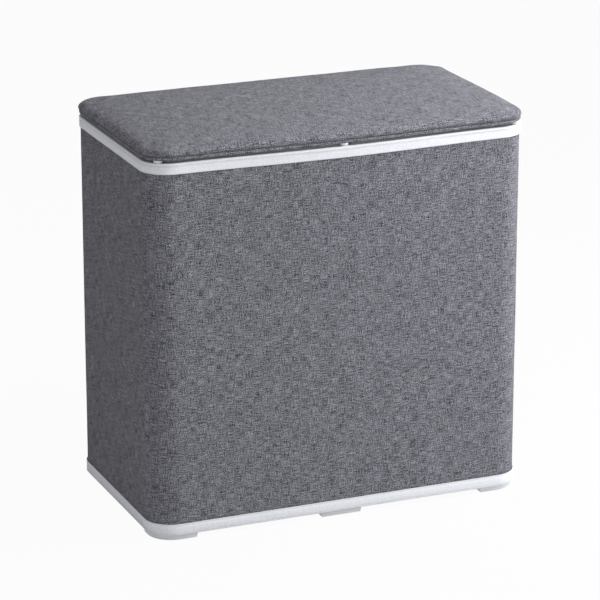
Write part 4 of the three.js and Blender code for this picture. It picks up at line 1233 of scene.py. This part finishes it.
class HAMPER_OT_bags(bpy.types.Operator):
    """Hangs a canvas bag from each bin's wire rim"""

    bl_idname = "hamper.bags"
    bl_label = "Bags"

    RADIUS = 23 * MM
    THICKNESS = 0.8 * MM
    LOW = 12 * MM
    HANG = 6.7 * MM
    WAIST = 12.5 * MM
    FOOT_SHARE = 0.42
    STRAIGHT = 52 * MM
    HEM = 15 * MM
    HEM_OUT = 0.7 * MM
    SEAM_LIFTS = (2.5 * MM, 4.5 * MM)
    STITCH = (3.4 * MM, 2.5 * MM, 0.45 * MM)
    ROWS = 56

    # The floor and its round edge as (way inside the wire, height over the floor) in mm, and how many of
    # these rows have the floor's map
    FLOOR = [(80, 0), (50, 0), (30, 0), (20, 0.1), (15.5, 0.5), (12.5, 2), (10.5, 5)]
    FLAT = 4
    WALL_FROM = 9 * MM

    # The hem's roll round the wire: its way off the wire, its first angle and its steps, in degrees
    ROLL_GAP = 1.15 * MM
    ROLL_START, ROLL_STEP, ROLL_STEPS = 205, 27, 11

    # Depths and pitches of the cloth's upright folds and of its slack creases
    FOLD, FOLD_PITCH = 3.2 * MM, 45 * MM
    SAG, LOW_SAG, SAG_PITCH = 0.8 * MM, 1.6 * MM, 35 * MM
    SEEDS = {"left": 0.0, "right": 11.0}
    WIRE_SIDES = 14

    def execute(self, context):
        for name in ("left", "right"):
            middle, half = middle_and_half("bin_%s_wire_rim" % name)
            plan = Plan(72, 12, half.x - WIRE_RADIUS, half.y - WIRE_RADIUS, self.RADIUS, middle.x)
            self.make_bag(name, plan)
            self.make_wire(name, plan)
        return {"FINISHED"}

    def draw_in(self, z):
        """How far the bag's side lies inside the wire at a level: most of all about half-way up."""
        top = LEDGE_TOP - self.STRAIGHT
        if z >= top:
            return self.HANG
        share = max((z - self.LOW) / (top - self.LOW), 0)
        belly = math.sin(math.pi * share * 0.97) ** 0.7
        return self.HANG + (self.WAIST - self.HANG) * (self.FOOT_SHARE + (1 - self.FOOT_SHARE) * belly)

    def side(self):
        """The bag from its floor's middle up to the end of its hem, as (offset from the wire, height)."""
        section = [(-inside * MM, self.LOW + height * MM) for inside, height in self.FLOOR]
        start, top, out = self.LOW + self.WALL_FROM, LEDGE_TOP - self.HEM, -self.HANG - self.HEM_OUT
        for k in range(self.ROWS + 1):
            z = start + (top - start) * k / self.ROWS
            section.append((-self.draw_in(z), z))
        section += [(out, top + 0.6 * MM), (out, top + 5 * MM), (out, LEDGE_TOP - 2 * MM),
                    (0.2 * MM - self.HANG, LEDGE_TOP + 0.6 * MM)]
        radius = WIRE_RADIUS + self.ROLL_GAP
        for k in range(self.ROLL_STEPS):
            turn = math.radians(self.ROLL_START - self.ROLL_STEP * k)
            section.append((radius * math.cos(turn), WIRE_Z + radius * math.sin(turn)))
        return section

    def make_bag(self, name, plan):
        section, around, ways = self.side(), plan.lengths(), plan.outward()
        rows = [pushed(plan.ring(offset, z), ways,
                       lambda point, k: self.fold(around[k], z, self.SEEDS[name]))
                for offset, z in section]
        floor = [flat_uvs(row) for row in rows[:self.FLAT]]
        walls = round_uvs(plan, run_lengths(section)[self.FLAT:])
        bag = self.skin("bin_%s_canvas" % name, rows, floor, walls)
        wear(bag, "bag_cloth", "bin_" + name)
        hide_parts("bin_%s_bag" % name)
        self.sew(name, plan)

    def skin(self, name, rows, floor, walls):
        """The bag's own skin: its floor has a map of its own, apart from its walls'."""
        count = len(rows[0])
        middle = sum(rows[0], Vector()) / count
        rings = [range(i * count, (i + 1) * count) for i in range(len(rows))]
        faces = [(len(rows) * count, (j + 1) % count, j) for j in range(count)]
        uvs = [((middle.x, middle.y), floor[0][j + 1], floor[0][j]) for j in range(count)]
        maps = list(zip(floor, floor[1:])) + [(walls[0], walls[1])] + list(zip(walls, walls[1:]))
        for low, high, (low_uvs, high_uvs) in zip(rings, rings[1:], maps):
            more, more_uvs = band(low, high, low_uvs, high_uvs)
            faces += more
            uvs += more_uvs
        vertices = [point for row in rows for point in row] + [middle]
        return thickened(new_piece(name, vertices, faces, uvs), self.THICKNESS)

    def fold(self, around, z, seed):
        """Upright folds that fade towards the rim, with slack creases low down."""
        height = max(min((z - self.LOW) / (LEDGE_TOP - self.LOW), 1), 0)
        free = math.sin(math.pi * min(height * 1.04, 1)) ** 0.6
        drift = 0.4 * noise.noise(Vector((around * 4, z * 5, seed)))
        upright = noise.noise(Vector((around / self.FOLD_PITCH + drift, z * 2.2, seed)))
        sag = noise.noise(Vector((around * 9, z / self.SAG_PITCH + drift * 3, seed + 5)))
        low_down = math.exp(-height * 7) * min(height * 20, 1)
        return free * self.FOLD * upright + (free * self.SAG + low_down * self.LOW_SAG) * sag

    def sew(self, name, plan):
        face = -self.HANG - self.HEM_OUT - self.THICKNESS
        rings = [plan.ring(face, LEDGE_TOP - self.HEM + lift) for lift in self.SEAM_LIFTS]
        stitches("bin_%s_hem_stitches" % name, [closed(ring) for ring in rings], self.STITCH, "thread",
                 "bin_" + name)

    def make_wire(self, name, plan):
        """The wire inside the hem, which shows where the hem ends."""
        ring = plan.ring(0, WIRE_Z)
        wire = repeated(lines_piece("bin_%s_wire" % name, [closed(ring)]), "Wire", wire_tree,
                        Radius=WIRE_RADIUS, Sides=self.WIRE_SIDES, Metal=Finish.made["white_wire"])
        wire.data.shade_smooth()
        wear(wire, "white_wire", "bin_" + name)
        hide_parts("bin_%s_wire_rim" % name)


class HAMPER_OT_handles(bpy.types.Operator):
    """Sews two webbing handles into each bag"""

    bl_idname = "hamper.handles"
    bl_label = "Bag handles"

    TAIL = 25 * MM
    STEPS = 44
    HALF_THICKNESS = 0.9 * MM
    OFF_BAG = 1.0 * MM
    BULGE_LESS = 2 * MM
    SAG = 1.2 * MM
    STITCH = (2.6 * MM, 1.9 * MM, 0.5 * MM)
    STITCH_OFF = 2.05 * MM
    STITCH_INSET = 3.5 * MM
    STITCH_GAP = 3 * MM
    STRAP_SHARE = 0.98

    def execute(self, context):
        for name in ("left", "right"):
            for place, way in (("front", -1), ("rear", 1)):
                self.make("bin_%s_handle_%s" % (name, place), "bin_" + name, way)
        return {"FINISHED"}

    def make(self, node, body, way):
        low, high = node_box(node)
        middle, half = middle_and_half(node)
        reach = half.x - self.TAIL
        face = high.y if way > 0 else low.y
        bulge = 2 * half.y - self.BULGE_LESS
        xs = [half.x * (2 * k / self.STEPS - 1) for k in range(self.STEPS + 1)]
        line = [Vector((x, bulge * arch(x / reach) + self.OFF_BAG)) for x in xs]
        thick = self.HALF_THICKNESS
        section = softened([(-half.z, -thick), (half.z, -thick), (half.z, thick), (-half.z, thick)], 2)
        rows = []
        for k, point in enumerate(line):
            run = (line[min(k + 1, len(line) - 1)] - line[max(k - 1, 0)]).normalized()
            normal, sag = Vector((-run.y, run.x)), -self.SAG * arch(point.x / reach)
            row = []
            for up, out in section:
                x, stand = point + normal * out
                row.append(Vector((middle.x + x, face - way * stand, middle.z + up * self.STRAP_SHARE + sag)))
            rows.append(row)
        around = run_lengths(section, rolled=True)
        uv_rows = [[(u, v) for v in around] for u in run_lengths(line)]
        strap = edited(loft(node + "_strap", rows, uv_rows, ends=True), face_outwards)
        wear(strap, "webbing", body)
        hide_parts(node)
        self.sew(node, body, middle, half, face - way * self.STITCH_OFF)

    def sew(self, node, body, middle, half, y):
        """A box with a cross in it on each end of the strap."""
        lines = []
        height = half.z - self.STITCH_INSET
        for side in (-1, 1):
            ways = (half.x - self.TAIL + self.STITCH_GAP, half.x - self.STITCH_INSET)
            x0, x1 = sorted(middle.x + side * way for way in ways)
            z0, z1 = middle.z - height, middle.z + height
            corners = [Vector((x, y, z)) for x, z in ((x0, z0), (x1, z0), (x1, z1), (x0, z1))]
            lines += [closed(corners), corners[::2], corners[1::2]]
        stitches(node + "_stitches", lines, self.STITCH, "thread", body)


class HAMPER_OT_stage(bpy.types.Operator):
    """Sets up the floor, the lights and the camera"""

    bl_idname = "hamper.stage"
    bl_label = "Stage"

    FLOOR = 40.0
    PALE = (0.50, 0.50, 0.50, 1.0)
    WHITE = (1.0, 1.0, 1.0, 1.0)
    FLOOR_GLOW = 0.955
    AIM = Vector((0, 0, 0.35))
    LAMPS = {"key": (Vector((1.28, -0.6, 1.36)), 2.0), "card": (Vector((-3.0, -2.23, 0.5)), 1.6)}
    SENSOR = 36.0
    FARTHEST = 200.0

    def execute(self, context):
        stage = context.scene.hamper_stage
        self.make_floor()
        self.make_world(stage)
        for name, (place, size) in self.LAMPS.items():
            self.make_lamp(name, getattr(stage, name), place, size)
        camera = put("camera", bpy.data.cameras.new("camera"))
        camera.data.sensor_width = self.SENSOR
        camera.data.sensor_fit = "HORIZONTAL"
        camera.data.lens = stage.lens
        camera.data.clip_end = self.FARTHEST
        camera.location = stage.eye
        camera.rotation_euler = (math.pi / 2 - stage.tilt, 0, -stage.turn)
        context.scene.camera = camera
        context.scene.view_settings.view_transform = "Standard"
        return {"FINISHED"}

    def make_floor(self):
        """A matt floor that lights the object as pale grey, and looks nearly as white as the backdrop."""
        half = self.FLOOR / 2
        floor = new_piece("floor", [(-half, -half, 0), (half, -half, 0), (half, half, 0), (-half, half, 0)],
                          [(0, 1, 2, 3)])
        material = bpy.data.materials.new("floor")
        nodes = self.bare_nodes(material)
        share = nodes.math("MULTIPLY", self.seen(nodes), self.FLOOR_GLOW)
        matt = nodes.out("ShaderNodeBsdfDiffuse", Color=self.PALE)
        bright = nodes.out("ShaderNodeEmission", Strength=1.0)
        mix = nodes.out("ShaderNodeMixShader", None, share, matt, bright)
        nodes.add("ShaderNodeOutputMaterial", None, mix)
        floor.data.materials.append(material)

    def make_world(self, stage):
        """Even light from all round, and a white backdrop for the camera."""
        world = bpy.data.worlds.new("room")
        nodes = self.bare_nodes(world)
        room, backdrop = (nodes.out("ShaderNodeBackground", Color=self.WHITE, Strength=strength)
                          for strength in (stage.light, 1.0))
        mix = nodes.out("ShaderNodeMixShader", None, self.seen(nodes), room, backdrop)
        nodes.add("ShaderNodeOutputWorld", None, mix)
        bpy.context.scene.world = world

    def bare_nodes(self, holder):
        holder.use_nodes = True
        holder.node_tree.nodes.clear()
        return Nodes(holder.node_tree)

    def seen(self, nodes):
        """1 on rays from the camera, a mirror or a glass, and 0 on the rays that light the object."""
        rays = nodes.add("ShaderNodeLightPath").outputs
        direct = nodes.math("MAXIMUM", rays["Is Camera Ray"], rays["Is Glossy Ray"])
        return nodes.math("MAXIMUM", direct, rays["Is Transmission Ray"])

    def make_lamp(self, name, power, place, size):
        """A broad, soft lamp that looks at the object."""
        lamp = put(name, bpy.data.lights.new(name, "AREA"))
        lamp.data.energy = power
        lamp.data.size = size
        lamp.location = place
        lamp.rotation_euler = (place - self.AIM).to_track_quat("Z", "Y").to_euler()
        lamp.visible_camera = False


class HAMPER_PT_panel(bpy.types.Panel):
    """Lists the hamper's pieces, in the order in which they are made"""

    bl_idname = "HAMPER_PT_panel"
    bl_label = "Laundry hamper"
    bl_space_type = "VIEW_3D"
    bl_region_type = "UI"
    bl_category = "Hamper"

    def draw(self, context):
        for step in STEPS:
            self.layout.operator(step.bl_idname)
        for group in GROUPS:
            box = self.layout.box()
            box.label(text=group)
            settings = getattr(context.scene, group)
            for name in settings.__annotations__:
                box.prop(settings, name)


GROUPS = {"hamper_cloth": HamperCloth, "hamper_tape": HamperTape, "hamper_lid": HamperLid,
          "hamper_stage": HamperStage}
STEPS = (HAMPER_OT_finishes, HAMPER_OT_stage, HAMPER_OT_wall, HAMPER_OT_bindings, HAMPER_OT_lid_cushion,
         HAMPER_OT_lid_underside, HAMPER_OT_mouldings, HAMPER_OT_hinges, HAMPER_OT_fasteners, HAMPER_OT_bags,
         HAMPER_OT_handles)


def register():
    for group, kind in GROUPS.items():
        bpy.utils.register_class(kind)
        setattr(bpy.types.Scene, group, bpy.props.PointerProperty(type=kind))
    for kind in STEPS + (HAMPER_PT_panel,):
        bpy.utils.register_class(kind)


def unregister():
    for kind in reversed(STEPS + (HAMPER_PT_panel,)):
        bpy.utils.unregister_class(kind)
    for group, kind in GROUPS.items():
        delattr(bpy.types.Scene, group)
        bpy.utils.unregister_class(kind)


def main():
    register()
    for step in STEPS:
        family, name = step.bl_idname.split(".")
        getattr(getattr(bpy.ops, family), name)()


if __name__ == "__main__":
    main()
